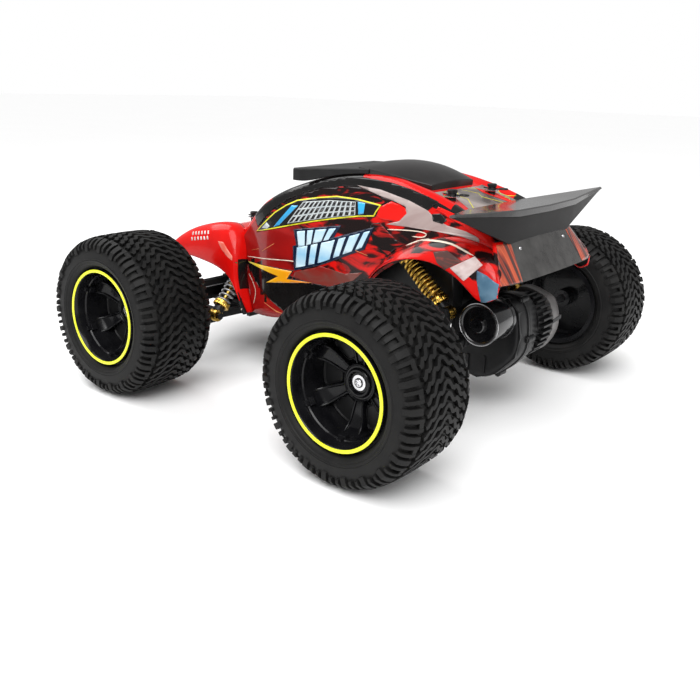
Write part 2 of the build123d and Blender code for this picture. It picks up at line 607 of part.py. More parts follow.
with BuildPart() as body_shell:
    add(outer_body)
    add(inner_body, mode=Mode.SUBTRACT)
    block((-60.0, 102.0), (-50, 50), (30.0, 84.5), mode=Mode.SUBTRACT)
    block((60.0, 102.0), (-50, 50), (84.0, 108.0), mode=Mode.SUBTRACT)
    rod_y(-55.0, 55.0, ARCH_X, ARCH_Z, ARCH_R + 3.0, mode=Mode.SUBTRACT)
    for side in (1, -1):
        rod_z(100.0, 190.0, REAR_POST[0], side * REAR_POST[1], POST_HOLE_R, mode=Mode.SUBTRACT)
    rod_z(95.0, 190.0, FRONT_POST_X, 0, POST_HOLE_R, mode=Mode.SUBTRACT)
save(body_shell, "body_shell")

with BuildPart() as roof_scoop:
    with BuildSketch(along_y(0, 54, 0)):
        with BuildLine():
            Spline((33, 176), (10, 181.5), (-20, 187), (-50, 184.5), (-81, 174))
            Polyline((-81, 174), (-81, 160), (20, 160), (24, 166), (33, 166), (33, 176))
        make_face()
    extrude(amount=108)
    with BuildSketch(Plane.XY.offset(150)):
        with BuildLine():
            Polyline((34, 54), (22, 54), (8, 44), (-40, 42), (-81, 29), (-81, -29), (-40, -42), (8, -44),
                     (22, -54), (34, -54), close=True)
        make_face()
    extrude(amount=60, mode=Mode.INTERSECT)
    add(outer_body.moved(Location((0, 0, 0.3))), mode=Mode.SUBTRACT)
save(roof_scoop, "roof_scoop")


def wing_section(y, points):
    """One cross-section of the rear wing, at a side position."""
    with BuildSketch(along_y(0, y, 0)) as section:
        with BuildLine():
            Polyline(*points, close=True)
        make_face()
    return section.sketch


WING_MIDDLE = [(-163, 162), (-121, 160), (-121, 154), (-154, 139)]
WING_ROOT = [(-159, 163.5), (-124, 160.5), (-124, 154), (-154, 139)]
WING_TIP = [(-150, 166.5), (-143, 164), (-143, 162.5), (-148, 162.5)]
with BuildPart() as rear_wing:
    for side in (1, -1):
        middle = wing_section(0, WING_MIDDLE)
        root = wing_section(side * 40, WING_ROOT)
        tip = wing_section(side * 113, WING_TIP)
        loft([middle, root], ruled=True)
        loft([root, tip], ruled=True)
    add(outer_body.moved(Location((-0.3, 0, 0.3))), mode=Mode.SUBTRACT)
save(rear_wing, "rear_wing")


# ---------------------------------------------------------------- shocks
def make_shock(low, top, eye_dir, name):
    """Coil-over shock: barrel with the top eye, rod with the lower eye, and the spring."""
    low, top, eye_dir = Vector(*low), Vector(*top), Vector(*eye_dir)
    length = (top - low).length
    axis = (top - low).normalized()

    def across(s):
        return Plane(origin=low + axis * s, x_dir=eye_dir, z_dir=axis)

    def eye_plane(centre):
        return Plane(origin=centre - eye_dir * (EYE_W / 2), x_dir=axis, z_dir=eye_dir)

    def spindle(s0, s1, r, mode=Mode.ADD):
        with BuildSketch(across(s0)) as section:
            Circle(r)
        extrude(section.sketch, amount=s1 - s0, mode=mode)

    def eye(centre, r, mode=Mode.ADD):
        with BuildSketch(eye_plane(centre)) as section:
            Circle(r)
        extrude(section.sketch, amount=EYE_W, mode=mode)

    low_seat = LOW_SEAT
    top_seat = length - TOP_SEAT
    barrel_low = length * 0.46
    with BuildPart() as barrel:
        spindle(barrel_low, length - 3.0, BARREL_R)
        spindle(top_seat, top_seat + 2.5, SEAT_R)
        eye(top, EYE_R)
        spindle(barrel_low - 1.0, length - 9.0, ROD_R + RUN, mode=Mode.SUBTRACT)
        eye(top, PIN_R + RUN, mode=Mode.SUBTRACT)
    save(barrel, f"{name}_shock_body")

    with BuildPart() as rod:
        spindle(3.0, length * 0.62, ROD_R)
        spindle(3.0, low_seat, BARREL_R)
        spindle(low_seat - 2.5, low_seat, SEAT_R)
        eye(low, EYE_R)
        eye(low, PIN_R + 0.6, mode=Mode.SUBTRACT)
    save(rod, f"{name}_shock_rod")

    span = top_seat - low_seat - 2 * SPRING_WIRE - 0.4
    with BuildPart() as spring:
        with BuildLine():
            path = Helix(pitch=span / SPRING_COILS, height=span, radius=SPRING_R - SPRING_WIRE / 2,
                         center=low + axis * (low_seat + SPRING_WIRE + 0.2), direction=axis)
        with BuildSketch(Plane(origin=path @ 0, z_dir=path % 0)):
            Circle(SPRING_WIRE / 2)
        sweep(path=path, is_frenet=True)
    save(spring, f"{name}_shock_spring")


for side_name, side in SIDES:
    make_shock((FRONT_SHOCK_LOW[0], side * FRONT_SHOCK_LOW[1], FRONT_SHOCK_LOW[2]),
               (FRONT_SHOCK_TOP[0], side * FRONT_SHOCK_TOP[1], FRONT_SHOCK_TOP[2]),
               (1, 0, 0), f"front_{side_name}")
    make_shock((REAR_SHOCK_LOW[0], side * REAR_SHOCK_LOW[1], REAR_SHOCK_LOW[2]),
               (REAR_SHOCK_TOP[0], side * REAR_SHOCK_TOP[1], REAR_SHOCK_TOP[2]),
               (0, 1, 0), f"rear_{side_name}")


# ---------------------------------------------------------------- gears
PRESSURE = math.radians(20)


def involute(a):
    return math.tan(a) - a


def gear_points(teeth, phase):
    """Outline of a spur gear with one tooth centred on the phase angle, in radians."""
    pitch_r = MODULE * teeth / 2
    base_r = pitch_r * math.cos(PRESSURE)
    tip_r = pitch_r + 0.8 * MODULE
    root_r = pitch_r - 1.15 * MODULE
    half_tooth = math.pi / (2 * teeth) - 0.05 / pitch_r
    low_r = max(base_r, root_r) * 1.0005
    flank = []
    for step in range(4):
        r = low_r + (tip_r - low_r) * step / 3
        flank.append((r, half_tooth + involute(PRESSURE) - involute(math.acos(base_r / r))))
    flank.insert(0, (root_r, flank[0][1]))
    points = []
    for tooth in range(teeth):
        centre = phase + 2 * math.pi * tooth / teeth
        for r, a in flank:
            points.append((r * math.cos(centre - a), r * math.sin(centre - a)))
        for r, a in reversed(flank):
            points.append((r * math.cos(centre + a), r * math.sin(centre + a)))
    return points


def gear(x, z, y0, y1, teeth, phase):
    """Spur gear about an axis along Y at (x, z), between y0 and y1."""
    with BuildSketch(along_y(x, y1, z)) as section:
        with BuildLine():
            Polyline(*gear_points(teeth, phase), close=True)
        make_face()
    extrude(section.sketch, amount=y1 - y0)


def circle_meet(a, ra, b, rb):
    """The lower point at distance ra from a and rb from b."""
    d = math.dist(a, b)
    ux, uz = (b[0] - a[0]) / d, (b[1] - a[1]) / d
    along = (ra**2 - rb**2 + d**2) / (2 * d)
    out = math.sqrt(ra**2 - along**2)
    return (a[0] + along * ux + out * uz * -1, a[1] + along * uz + out * ux)


AXLE_C = (REAR_X, AXLE_Z)
MOTOR_C = (MOTOR_X, MOTOR_Z)
COUNTER_C = circle_meet(AXLE_C, MODULE * (AXLE_TEETH + COUNTER_PINION_TEETH) / 2,
                        MOTOR_C, MODULE * (MOTOR_TEETH + COUNTER_TEETH) / 2)


def direction(a, b):
    return math.atan2(b[1] - a[1], b[0] - a[0])


LOW_GEAR_Y = (-9.0, -3.5)
HIGH_GEAR_Y = (2.5, 8.5)
with BuildPart() as axle_gear:
    gear(*AXLE_C, *LOW_GEAR_Y, AXLE_TEETH, direction(AXLE_C, COUNTER_C))
    rod_y(-3.6, 0.5, *AXLE_C, 6.0)
    rod_y(-12, 12, *AXLE_C, AXLE_R + 0.02, mode=Mode.SUBTRACT)
save(axle_gear, "axle_gear")

with BuildPart() as counter_gear:
    gear(*COUNTER_C, *LOW_GEAR_Y, COUNTER_PINION_TEETH,
         direction(COUNTER_C, AXLE_C) + math.pi / COUNTER_PINION_TEETH)
    gear(*COUNTER_C, *HIGH_GEAR_Y, COUNTER_TEETH, direction(COUNTER_C, MOTOR_C))
    rod_y(LOW_GEAR_Y[1] - 0.1, HIGH_GEAR_Y[0] + 0.1, *COUNTER_C, 4.0)
    rod_y(-13.5, 13.5, *COUNTER_C, PIN_R)
save(counter_gear, "counter_gear")

with BuildPart() as motor_pinion:
    gear(*MOTOR_C, *HIGH_GEAR_Y, MOTOR_TEETH, direction(MOTOR_C, COUNTER_C) + math.pi / MOTOR_TEETH)
    rod_y(HIGH_GEAR_Y[1] - 0.1, 24.0, *MOTOR_C, PIN_R)
save(motor_pinion, "motor_pinion")

with BuildPart() as rear_axle_shaft:
    rod_y(-WHEEL_Y - 2.0, WHEEL_Y + 2.0, *AXLE_C, AXLE_R)
    for side in (1, -1):
        rod_y(side * (WHEEL_Y - 10), side * (WHEEL_Y + 10), *AXLE_C, SCREW_BORE_R, mode=Mode.SUBTRACT)
save(rear_axle_shaft, "rear_axle_shaft")

# ---------------------------------------------------------------- rear swing unit
BOX_OUTLINE = [(-94, 46), (-101, 34), (-120, 30), (-135, 36), (-150, 52), (-153, 68), (-150, 86),
               (-141, 95), (-122, 93), (-104, 84), (-96, 74)]
for side_name, side in SIDES:
    with BuildPart() as half:
        plate_y(BOX_OUTLINE, (side * 0.05, side * BOX_HALF_W))
        with BuildSketch(along_y(0, max(side * 0.05, side * (BOX_HALF_W - BOX_WALL)), 0)):
            with BuildLine():
                Polyline(*BOX_OUTLINE, close=True)
            make_face()
            offset(amount=-BOX_WALL, mode=Mode.REPLACE)
        extrude(amount=BOX_HALF_W - BOX_WALL - 0.05, mode=Mode.SUBTRACT)
        rod_y(side * (BOX_HALF_W - 1.0), side * 98.0, *AXLE_C, TUBE_R)
        rod_y(side * TRAIL_Y[0], side * TRAIL_Y[1], *AXLE_C, 5.8)
        plate_y([(SWING_X, SWING_Z - 4.5), (SWING_X, SWING_Z + 4.5), (REAR_X, AXLE_Z + 3.5),
                 (REAR_X, AXLE_Z - 5)], (side * TRAIL_Y[0], side * TRAIL_Y[1]))
        rod_y(side * TRAIL_Y[0], side * TRAIL_Y[1], SWING_X, SWING_Z, SWING_BARREL_R)
        plate_y([(-121, 60), (-110, 60), (-108, 86), (-110, 91), (-116, 91), (-118, 86)],
                (side * SHOCK_LUG_Y[0], side * SHOCK_LUG_Y[1]))
        rod_y(side * 45.4, side * 55.5, REAR_SHOCK_LOW[0], REAR_SHOCK_LOW[2], PIN_R)
        rod_y(-100.0, 100.0, *AXLE_C, AXLE_R + RUN, mode=Mode.SUBTRACT)
        rod_y(-14.5, 14.5, *COUNTER_C, PIN_R + RUN, mode=Mode.SUBTRACT)
        rod_y(side * (TRAIL_Y[0] - 1), side * (TRAIL_Y[1] + 1), SWING_X, SWING_Z, SWING_PIN_R + RUN,
              mode=Mode.SUBTRACT)
        if side == 1:
            rod_y(2.0, 20.0, *MOTOR_C, PIN_R + 1.0, mode=Mode.SUBTRACT)
    save(half, f"gearbox_{side_name}_half")

with BuildPart() as motor:
    rod_y(BOX_HALF_W, MOTOR_END_Y, *MOTOR_C, MOTOR_R)
    rod_y(MOTOR_END_Y - 0.5, MOTOR_END_Y + 2.5, *MOTOR_C, 6.0)
    rod_y(BOX_HALF_W - 1.0, 26.0, *MOTOR_C, PIN_R + 0.4, mode=Mode.SUBTRACT)
save(motor, "motor")

FIN_SLOTS = 9
FIN_PITCH = 5.0
FIN_SLOT_T = 2.2
FIN_OUTLINE = [(-124, 92), (-148, 92), (-157, 80), (-158, 66), (-152, 52), (-142, 43), (-128, 43), (-124, 52)]
with BuildPart() as finned_cover:
    plate_y(FIN_OUTLINE, (-BOX_HALF_W, -MOTOR_END_Y))
    for step in range(FIN_SLOTS):
        z = 47.0 + FIN_PITCH * step
        block((-160.0, -146.0), (-MOTOR_END_Y + 2, -BOX_HALF_W - 2), (z, z + FIN_SLOT_T), mode=Mode.SUBTRACT)
save(finned_cover, "finned_cover")
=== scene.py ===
"""Looks of an off-road remote control car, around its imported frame.

Shapes are worked out in millimetres, with +X forward, +Y to the car's left and +Z up, and become metres when
a mesh is made.
"""

import json
import math

import bmesh
import bpy
from mathutils import Matrix, Vector
from mathutils.bvhtree import BVHTree
from mathutils.geometry import tessellate_polygon


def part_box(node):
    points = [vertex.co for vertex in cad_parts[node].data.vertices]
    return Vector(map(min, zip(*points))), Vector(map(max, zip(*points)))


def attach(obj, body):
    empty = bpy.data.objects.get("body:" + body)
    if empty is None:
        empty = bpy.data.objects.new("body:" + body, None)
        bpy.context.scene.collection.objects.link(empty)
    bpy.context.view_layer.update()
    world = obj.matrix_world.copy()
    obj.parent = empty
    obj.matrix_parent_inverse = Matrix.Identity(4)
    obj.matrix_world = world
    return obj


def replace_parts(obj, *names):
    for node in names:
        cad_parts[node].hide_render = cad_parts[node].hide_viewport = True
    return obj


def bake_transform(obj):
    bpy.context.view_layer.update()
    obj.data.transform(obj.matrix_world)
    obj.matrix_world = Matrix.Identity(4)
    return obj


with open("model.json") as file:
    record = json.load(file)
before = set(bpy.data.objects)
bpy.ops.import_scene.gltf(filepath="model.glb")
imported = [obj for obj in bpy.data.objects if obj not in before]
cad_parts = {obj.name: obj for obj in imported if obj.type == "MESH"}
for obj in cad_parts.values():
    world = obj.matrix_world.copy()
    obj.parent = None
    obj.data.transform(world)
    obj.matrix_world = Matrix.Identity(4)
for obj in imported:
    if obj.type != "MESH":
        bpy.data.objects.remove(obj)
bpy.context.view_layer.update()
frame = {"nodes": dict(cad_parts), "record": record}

MM = 0.001
SIDES = (("left", 1), ("right", -1))


# ---------------------------------------------------------------- the frame's own measures
def node_centre(name):
    """Middle of a CAD node's box, in millimetres."""
    low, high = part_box(name)
    return (low / MM + high / MM) / 2


FRONT_X = node_centre("front_left_tyre").x
REAR_X, WHEEL_Y, AXLE_Z = node_centre("rear_left_tyre")
TYRE_R = AXLE_Z


# ---------------------------------------------------------------- materials
def new_material(name):
    """A node material, its nodes, its links and its shader."""
    mat = bpy.data.materials.new(name)
    mat.use_nodes = True
    tree = mat.node_tree
    return mat, tree.nodes, tree.links, tree.nodes["Principled BSDF"]


def setup(node, **values):
    """Set a node's constants; a socket's name is written with _ for its spaces."""
    for socket, value in values.items():
        node.inputs[socket.replace("_", " ")].default_value = value
    return node


def coordinates(nodes, links, stretch=(1, 1, 1)):
    """Object coordinates, stretched along the axes."""
    place = nodes.new("ShaderNodeTexCoord")
    mapping = setup(nodes.new("ShaderNodeMapping"), Scale=stretch)
    links.new(place.outputs["Object"], mapping.inputs["Vector"])
    return mapping.outputs["Vector"]


def along(nodes, links, axis):
    """One object coordinate, in metres."""
    place = nodes.new("ShaderNodeTexCoord")
    split = nodes.new("ShaderNodeSeparateXYZ")
    links.new(place.outputs["Object"], split.inputs["Vector"])
    return split.outputs[axis]


def noise(nodes, links, where, scale, detail=4.0, distortion=0.0):
    node = setup(nodes.new("ShaderNodeTexNoise"), Scale=scale, Detail=detail, Distortion=distortion)
    links.new(where, node.inputs["Vector"])
    return node.outputs["Fac"]


def ramp(nodes, links, value, stops):
    """Colour ramp over a value, from (position, colour) stops."""
    node = nodes.new("ShaderNodeValToRGB")
    elements = node.color_ramp.elements
    while len(elements) < len(stops):
        elements.new(0.5)
    for element, (position, colour) in zip(elements, stops):
        element.position = position
        element.color = (*colour, 1.0)
    links.new(value, node.inputs["Fac"])
    return node.outputs["Color"]


def spread(nodes, links, value, low=0.0, high=1.0, start=0.0, end=1.0):
    """A value from start to end, mapped onto low to high."""
    node = setup(nodes.new("ShaderNodeMapRange"), From_Min=start, From_Max=end, To_Min=low, To_Max=high)
    links.new(value, node.inputs["Value"])
    return node.outputs["Result"]


def add_scaled(nodes, links, value, factor, base):
    """base + factor * value."""
    node = nodes.new("ShaderNodeMath")
    node.operation = "MULTIPLY_ADD"
    node.inputs[1].default_value = factor
    links.new(value, node.inputs[0])
    links.new(base, node.inputs[2])
    return node.outputs["Value"]


def add_bump(nodes, links, shader, height, depth_mm):
    node = setup(nodes.new("ShaderNodeBump"), Strength=1.0, Distance=depth_mm * MM)
    links.new(height, node.inputs["Height"])
    links.new(node.outputs["Normal"], shader.inputs["Normal"])


def finish_material(name, dark, light, rough, metallic=0.0, patch=90.0, grain=2200.0, depth=0.03, coat=0.0,
                    specular=0.5):
    """Moulded, painted or metal surface: patchy colour and gloss, and a fine grain."""
    mat, nodes, links, shader = new_material(name)
    where = coordinates(nodes, links)
    patches = noise(nodes, links, where, patch, 5.0)
    fine = noise(nodes, links, where, grain, 3.0)
    links.new(ramp(nodes, links, patches, [(0.32, dark), (0.68, light)]), shader.inputs["Base Color"])
    links.new(spread(nodes, links, patches, *rough), shader.inputs["Roughness"])
    setup(shader, Metallic=metallic, Specular_IOR_Level=specular, Coat_Weight=coat, Coat_Roughness=0.06)
    add_bump(nodes, links, shader, fine, depth)
    return mat


def rubber_material():
    """Dull tyre rubber with a dusty bloom and mould grain."""
    mat, nodes, links, shader = new_material("tyre_rubber")
    where = coordinates(nodes, links)
    bloom = noise(nodes, links, where, 60.0, 6.0, 0.4)
    grain = noise(nodes, links, where, 1500.0, 4.0)
    links.new(ramp(nodes, links, bloom, [(0.3, (0.004, 0.004, 0.0042)), (0.75, (0.012, 0.0115, 0.011))]),
              shader.inputs["Base Color"])
    links.new(spread(nodes, links, bloom, 0.46, 0.66), shader.inputs["Roughness"])
    setup(shader, Specular_IOR_Level=0.2)
    add_bump(nodes, links, shader, grain, 0.08)
    return mat


FILM_ROUGH = 0.2
PRINT_NOISE = 0.12


def fade_material(name, axis, low_mm, high_mm, stops):
    """Printed film whose colour fades along an axis, with a little print noise."""
    mat, nodes, links, shader = new_material(name)
    share = spread(nodes, links, along(nodes, links, axis), start=low_mm * MM, end=high_mm * MM)
    mottle = noise(nodes, links, coordinates(nodes, links), 260.0, 5.0, 0.6)
    shifted = add_scaled(nodes, links, mottle, PRINT_NOISE, share)
    links.new(ramp(nodes, links, shifted, stops), shader.inputs["Base Color"])
    links.new(spread(nodes, links, mottle, FILM_ROUGH - 0.05, FILM_ROUGH + 0.07), shader.inputs["Roughness"])
    setup(shader, Coat_Weight=0.6, Coat_Roughness=0.05)
    return mat


def brushed_paint(name, stops, stretch, distortion):
    """Glossy film with torn, brush-like strokes of a few flat colours."""
    mat, nodes, links, shader = new_material(name)
    strokes = noise(nodes, links, coordinates(nodes, links, stretch), 1.0, 7.0, distortion)
    links.new(ramp(nodes, links, strokes, stops), shader.inputs["Base Color"])
    orange_peel = noise(nodes, links, coordinates(nodes, links), 700.0, 2.0)
    links.new(spread(nodes, links, strokes, FILM_ROUGH - 0.04, FILM_ROUGH + 0.06), shader.inputs["Roughness"])
    setup(shader, Specular_IOR_Level=0.12, Coat_Weight=0.35, Coat_Roughness=0.04)
    add_bump(nodes, links, shader, orange_peel, 0.02)
    return mat


RED = (0.66, 0.006, 0.004)

rubber = rubber_material()
rim_gloss = finish_material("rim_gloss", (0.004, 0.004, 0.005), (0.009, 0.009, 0.010), (0.10, 0.2), coat=0.15,
                           specular=0.15)
ring_yellow = finish_material("ring_yellow", (0.80, 0.84, 0.015), (0.90, 0.93, 0.03), (0.28, 0.36))
bright_steel = finish_material("bright_steel", (0.55, 0.55, 0.56), (0.78, 0.78, 0.8), (0.16, 0.3), 1.0)
dull_steel = finish_material("dull_steel", (0.3, 0.3, 0.31), (0.45, 0.45, 0.46), (0.28, 0.42), 1.0)
black_steel = finish_material("black_steel", (0.02, 0.02, 0.02), (0.05, 0.05, 0.05), (0.3, 0.45), 0.8)
gold = finish_material("gold_anodised", (0.62, 0.36, 0.055), (0.86, 0.56, 0.12), (0.2, 0.34), 1.0)
nylon = finish_material("black_nylon", (0.004, 0.004, 0.0045), (0.009, 0.009, 0.0095), (0.34, 0.5),
                        depth=0.05, specular=0.3)
gear_nylon = finish_material("gear_nylon", (0.55, 0.53, 0.48), (0.66, 0.64, 0.58), (0.4, 0.55))
satin = finish_material("satin_black", (0.006, 0.006, 0.0065), (0.011, 0.011, 0.0115), (0.34, 0.46),
                        depth=0.04, specular=0.3)
charcoal = finish_material("charcoal", (0.011, 0.011, 0.012), (0.020, 0.020, 0.021), (0.34, 0.46), depth=0.05,
                           specular=0.3)
motor_black = finish_material("motor_black", (0.005, 0.005, 0.006), (0.010, 0.010, 0.011), (0.08, 0.2),
                              coat=0.4)
board_green = finish_material("board_green", (0.01, 0.09, 0.03), (0.02, 0.15, 0.05), (0.3, 0.45), patch=300.0)
wrap_blue = finish_material("wrap_blue", (0.01, 0.05, 0.2), (0.02, 0.09, 0.3), (0.2, 0.35), coat=0.4)


# ---------------------------------------------------------------- mesh helpers
def link_new(name, data):
    """A new object in the scene."""
    obj = bpy.data.objects.new(name, data)
    bpy.context.scene.collection.objects.link(obj)
    return obj


def add_piece(name, bm, materials, body, slot, sharp_deg=None):
    """A bmesh in millimetres as a smooth-shaded piece in metres, with its edges sharp beyond an angle."""
    bmesh.ops.scale(bm, vec=(MM, MM, MM), verts=bm.verts)
    if sharp_deg:
        for edge in bm.edges:
            edge.smooth = edge.is_manifold and edge.calc_face_angle(0.0) < math.radians(sharp_deg)
    for face in bm.faces:
        face.smooth = True
    mesh = bpy.data.meshes.new(name)
    bm.to_mesh(mesh)
    bm.free()
    for mat in materials:
        mesh.materials.append(mat)
    obj = link_new(name, mesh)
    if body:
        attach(obj, body)
    return obj


def make_object(name, bm, materials, body, slot=None, sharp_deg=35.0):
    """A closed solid as a piece that rides on a body."""
    bmesh.ops.recalc_face_normals(bm, faces=bm.faces)
    return add_piece(name, bm, materials, body, slot, sharp_deg)


def join_rings(bm, rings, index=0):
    """Faces between neighbouring rings of the same number of vertices."""
    for a, b in zip(rings, rings[1:]):
        for i in range(len(a)):
            j = (i + 1) % len(a)
            bm.faces.new((a[i], a[j], b[j], b[i])).material_index = index


def loft(bm, outlines, index=0):
    """Solid through outlines of the same number of points."""
    rings = [[bm.verts.new(p) for p in outline] for outline in outlines]
    join_rings(bm, rings, index)
    for ring in (rings[0], rings[-1]):
        bm.faces.new(ring).material_index = index


def lathe(bm, profile, place, segments=96, index=0):
    """Closed solid of revolution: profile is a closed loop, and place(point, angle) puts it in space."""
    rings = [[bm.verts.new(place(point, 2 * math.pi * step / segments)) for point in profile]
             for step in range(segments)]
    join_rings(bm, rings + rings[:1], index)


def stepped(bm, outline, steps, side=1, index=0):
    """Solid across the car through (distance, inset) steps of an (x, z) outline."""
    loft(bm, [[(x, side * y, z) for x, z in inset(outline, depth)] for y, depth in steps], index)


def slab(bm, outline, start, end, side=1):
    """Solid across the car between two distances from the centre line."""
    stepped(bm, outline, ((start, 0.0), (end, 0.0)), side)


def axis_frame(origin, direction):
    """place((distance along, radius), angle) about an axis in space."""
    origin, direction = Vector(origin), Vector(direction).normalized()
    across = direction.orthogonal()
    u = (across - direction * across.dot(direction)).normalized()
    v = direction.cross(u)

    def place(point, angle):
        s, r = point
        return origin + direction * s + (u * math.cos(angle) + v * math.sin(angle)) * r

    return place


def inset(outline, distance):
    """A closed outline moved inwards by a distance (outwards if negative)."""
    area = sum(a[0] * b[1] - b[0] * a[1] for a, b in zip(outline, outline[1:] + outline[:1]))
    turn = 1 if area > 0 else -1
    moved = []
    for i, (u, v) in enumerate(outline):
        before, after = Vector(outline[i - 1]), Vector(outline[(i + 1) % len(outline)])
        here = Vector((u, v))
        first, second = (here - before).normalized(), (after - here).normalized()
        normals = [Vector((-d.y, d.x)) * turn for d in (first, second)]
        middle = (normals[0] + normals[1]).normalized()
        reach = distance / max(middle.dot(normals[0]), 0.45)
        moved.append((u + middle.x * reach, v + middle.y * reach))
    return moved


# ---------------------------------------------------------------- wheels
def wheel_place(x, side):
    """place((offset, radius), angle) on a wheel; the angle starts at the top and grows forward."""

    def place(point, angle):
        offset, radius = point
        return Vector((x + radius * math.sin(angle), side * (WHEEL_Y + offset),
                       AXLE_Z + radius * math.cos(angle)))

    return place


# half of the tread surface, from the centre line over the shoulder and down the sidewall: (offset, radius)
TREAD_HALF = [(0.0, 59.6), (10.0, 59.5), (19.0, 59.2), (24.5, 58.3), (28.3, 56.2), (30.3, 53.2), (31.2, 50.0),
              (31.3, 46.5)]
# the ringed sidewall, the bead and the inside of the carcass
SIDEWALL = [(31.5, 45.6), (31.2, 45.0), (31.6, 44.2), (31.3, 43.2), (30.7, 42.6), (30.6, 41.8), (30.0, 40.8),
            (28.6, 39.4), (26.6, 38.5), (25.4, 38.0), (25.4, 35.2), (22.0, 35.2), (22.0, 37.6), (26.0, 42.0),
            (27.6, 50.0), (24.0, 55.6)]
LUG_HEIGHT = 2.7
RIB_TAPER, RIB_SUNK = 0.35, 0.8     # how much narrower a bar's top is, and how deep its foot is sunk


def tread_surface(s):
    """(offset, radius, normal offset, normal radius) at a signed distance s across the tread."""
    left = abs(s)
    sign = 1 if s >= 0 else -1
    for (o0, r0), (o1, r1) in zip(TREAD_HALF, TREAD_HALF[1:]):
        run = math.hypot(o1 - o0, r1 - r0)
        if left <= run or (o1, r1) == TREAD_HALF[-1]:
            share = left / run
            no, nr = (r0 - r1) / run, (o1 - o0) / run
            return sign * (o0 + (o1 - o0) * share), r0 + (r1 - r0) * share, sign * no, nr
        left -= run
    raise ValueError("the tread profile is too short")


def rib(bm, place, path, width, height):
    """Tread bar along path, a list of (distance across, distance round) in millimetres."""
    top_half = (width - RIB_TAPER) / 2
    rings = []
    for i, (s, t) in enumerate(path):
        before, after = path[max(i - 1, 0)], path[min(i + 1, len(path) - 1)]
        ds, dt = after[0] - before[0], after[1] - before[1]
        run = math.hypot(ds, dt)
        ps, pt = -dt / run, ds / run
        corners = []
        for half, lift in ((-width / 2, -RIB_SUNK), (-top_half, height), (top_half, height),
                           (width / 2, -RIB_SUNK)):
            o, r, no, nr = tread_surface(s + ps * half)
            corners.append(place((o + no * lift, r + nr * lift), (t + pt * half) / TYRE_R))
        rings.append(corners)
    loft(bm, rings)


CHEVRON = [(0.0, 12.4), (2.4, 11.2), (4.8, 7.4), (6.6, 6.6), (8.8, 7.2), (10.6, 5.8), (13.0, 1.2),
           (15.0, 0.2), (16.8, 0.6), (19.0, -2.8), (20.6, -3.4)]
CHEVRON_COUNT = 54
LUG_PAIRS = 22
BAR_WIDTH, PAIR_WIDTH, BLOCK_WIDTH = 3.1, 2.7, 4.6
PAIR_STEPS = (22.8, 25.6, 28.2, 31.0, 32.8)     # distances across the tread along a shoulder lug
BLOCK_STEPS = (24.2, 27.5, 30.0, 33.0, 35.0)
TYRE_HALF = 31.9


def build_tyre(x, side, name, body):
    """Carcass with ringed sidewalls, wavy chevron bars and paired shoulder lugs."""
    place = wheel_place(x, side)
    bm = bmesh.new()
    half = TREAD_HALF + SIDEWALL
    lathe(bm, half + [(0.0, 57.2)] + [(-o, r) for o, r in reversed(half[1:])], place, 144)
    round_mm = 2 * math.pi * TYRE_R
    for step in range(CHEVRON_COUNT):
        t = round_mm * step / CHEVRON_COUNT
        path = [(-s, t + lead) for s, lead in reversed(CHEVRON[1:])] + [(s, t + lead) for s, lead in CHEVRON]
        rib(bm, place, path, BAR_WIDTH, LUG_HEIGHT)
    for step in range(LUG_PAIRS):
        for hand in (1, -1):
            t = round_mm * (step + 0.25 * hand) / LUG_PAIRS
            for leg in (-3.0, 3.0):
                rib(bm, place, [(hand * s, t + leg) for s in PAIR_STEPS], PAIR_WIDTH, LUG_HEIGHT)
            rib(bm, place, [(hand * 24.0, t - 4.3), (hand * 24.0, t + 4.3)], PAIR_WIDTH, LUG_HEIGHT - 0.1)
            between = t + round_mm / LUG_PAIRS / 2
            rib(bm, place, [(hand * s, between) for s in BLOCK_STEPS], BLOCK_WIDTH, LUG_HEIGHT + 0.2)
    for vert in bm.verts:
        vert.co.y = min(max(vert.co.y, side * WHEEL_Y - TYRE_HALF), side * WHEEL_Y + TYRE_HALF)
    return make_object(name, bm, [rubber], body, "tyre_rubber", 28.0)


SPOKES = 6
RIM_BARREL = [(-27.5, 33.4), (-27.5, 37.0), (-26.0, 37.2), (-25.6, 34.6), (25.4, 34.6), (25.6, 37.3),
              (29.0, 37.4), (29.6, 37.0), (29.7, 36.2), (29.5, 34.7), (28.6, 34.0), (26.0, 33.6),
              (24.4, 32.9), (21.0, 32.7), (20.0, 31.9), (12.0, 31.7), (10.0, 31.2), (4.0, 31.0), (-2.0, 31.2),
              (-4.0, 33.2)]
RIM_RING = [(29.4, 34.6), (29.9, 34.8), (30.1, 35.4), (30.1, 36.4), (29.9, 36.9), (29.4, 37.1), (29.2, 36.0)]
RIM_DISH = [(-2.0, 7.5), (-2.0, 31.4), (1.5, 31.4), (0.6, 28.5), (0.0, 25.0), (0.0, 14.0), (1.2, 12.6),
            (3.6, 12.4), (4.4, 12.0), (4.6, 11.3), (3.9, 10.8), (3.9, 9.6), (5.2, 9.2), (5.8, 8.5),
            (5.8, 7.4), (5.0, 6.8), (3.6, 6.5), (3.6, 3.4), (-12.0, 3.4), (-12.0, 7.5)]
SPOKE_RISE = [(11.0, 3.4), (14.0, 4.4), (19.0, 5.2), (24.0, 6.2), (28.0, 8.0), (30.6, 11.0), (32.2, 16.0)]
SPOKE_HALF = [(11.0, 3.6), (32.2, 6.6)]
TAB_R = 32.8
POCKET = [(15.2, 3.0), (17.0, 4.4), (26.5, 9.2), (29.0, 8.8), (30.4, 6.0), (30.9, 0.0)]


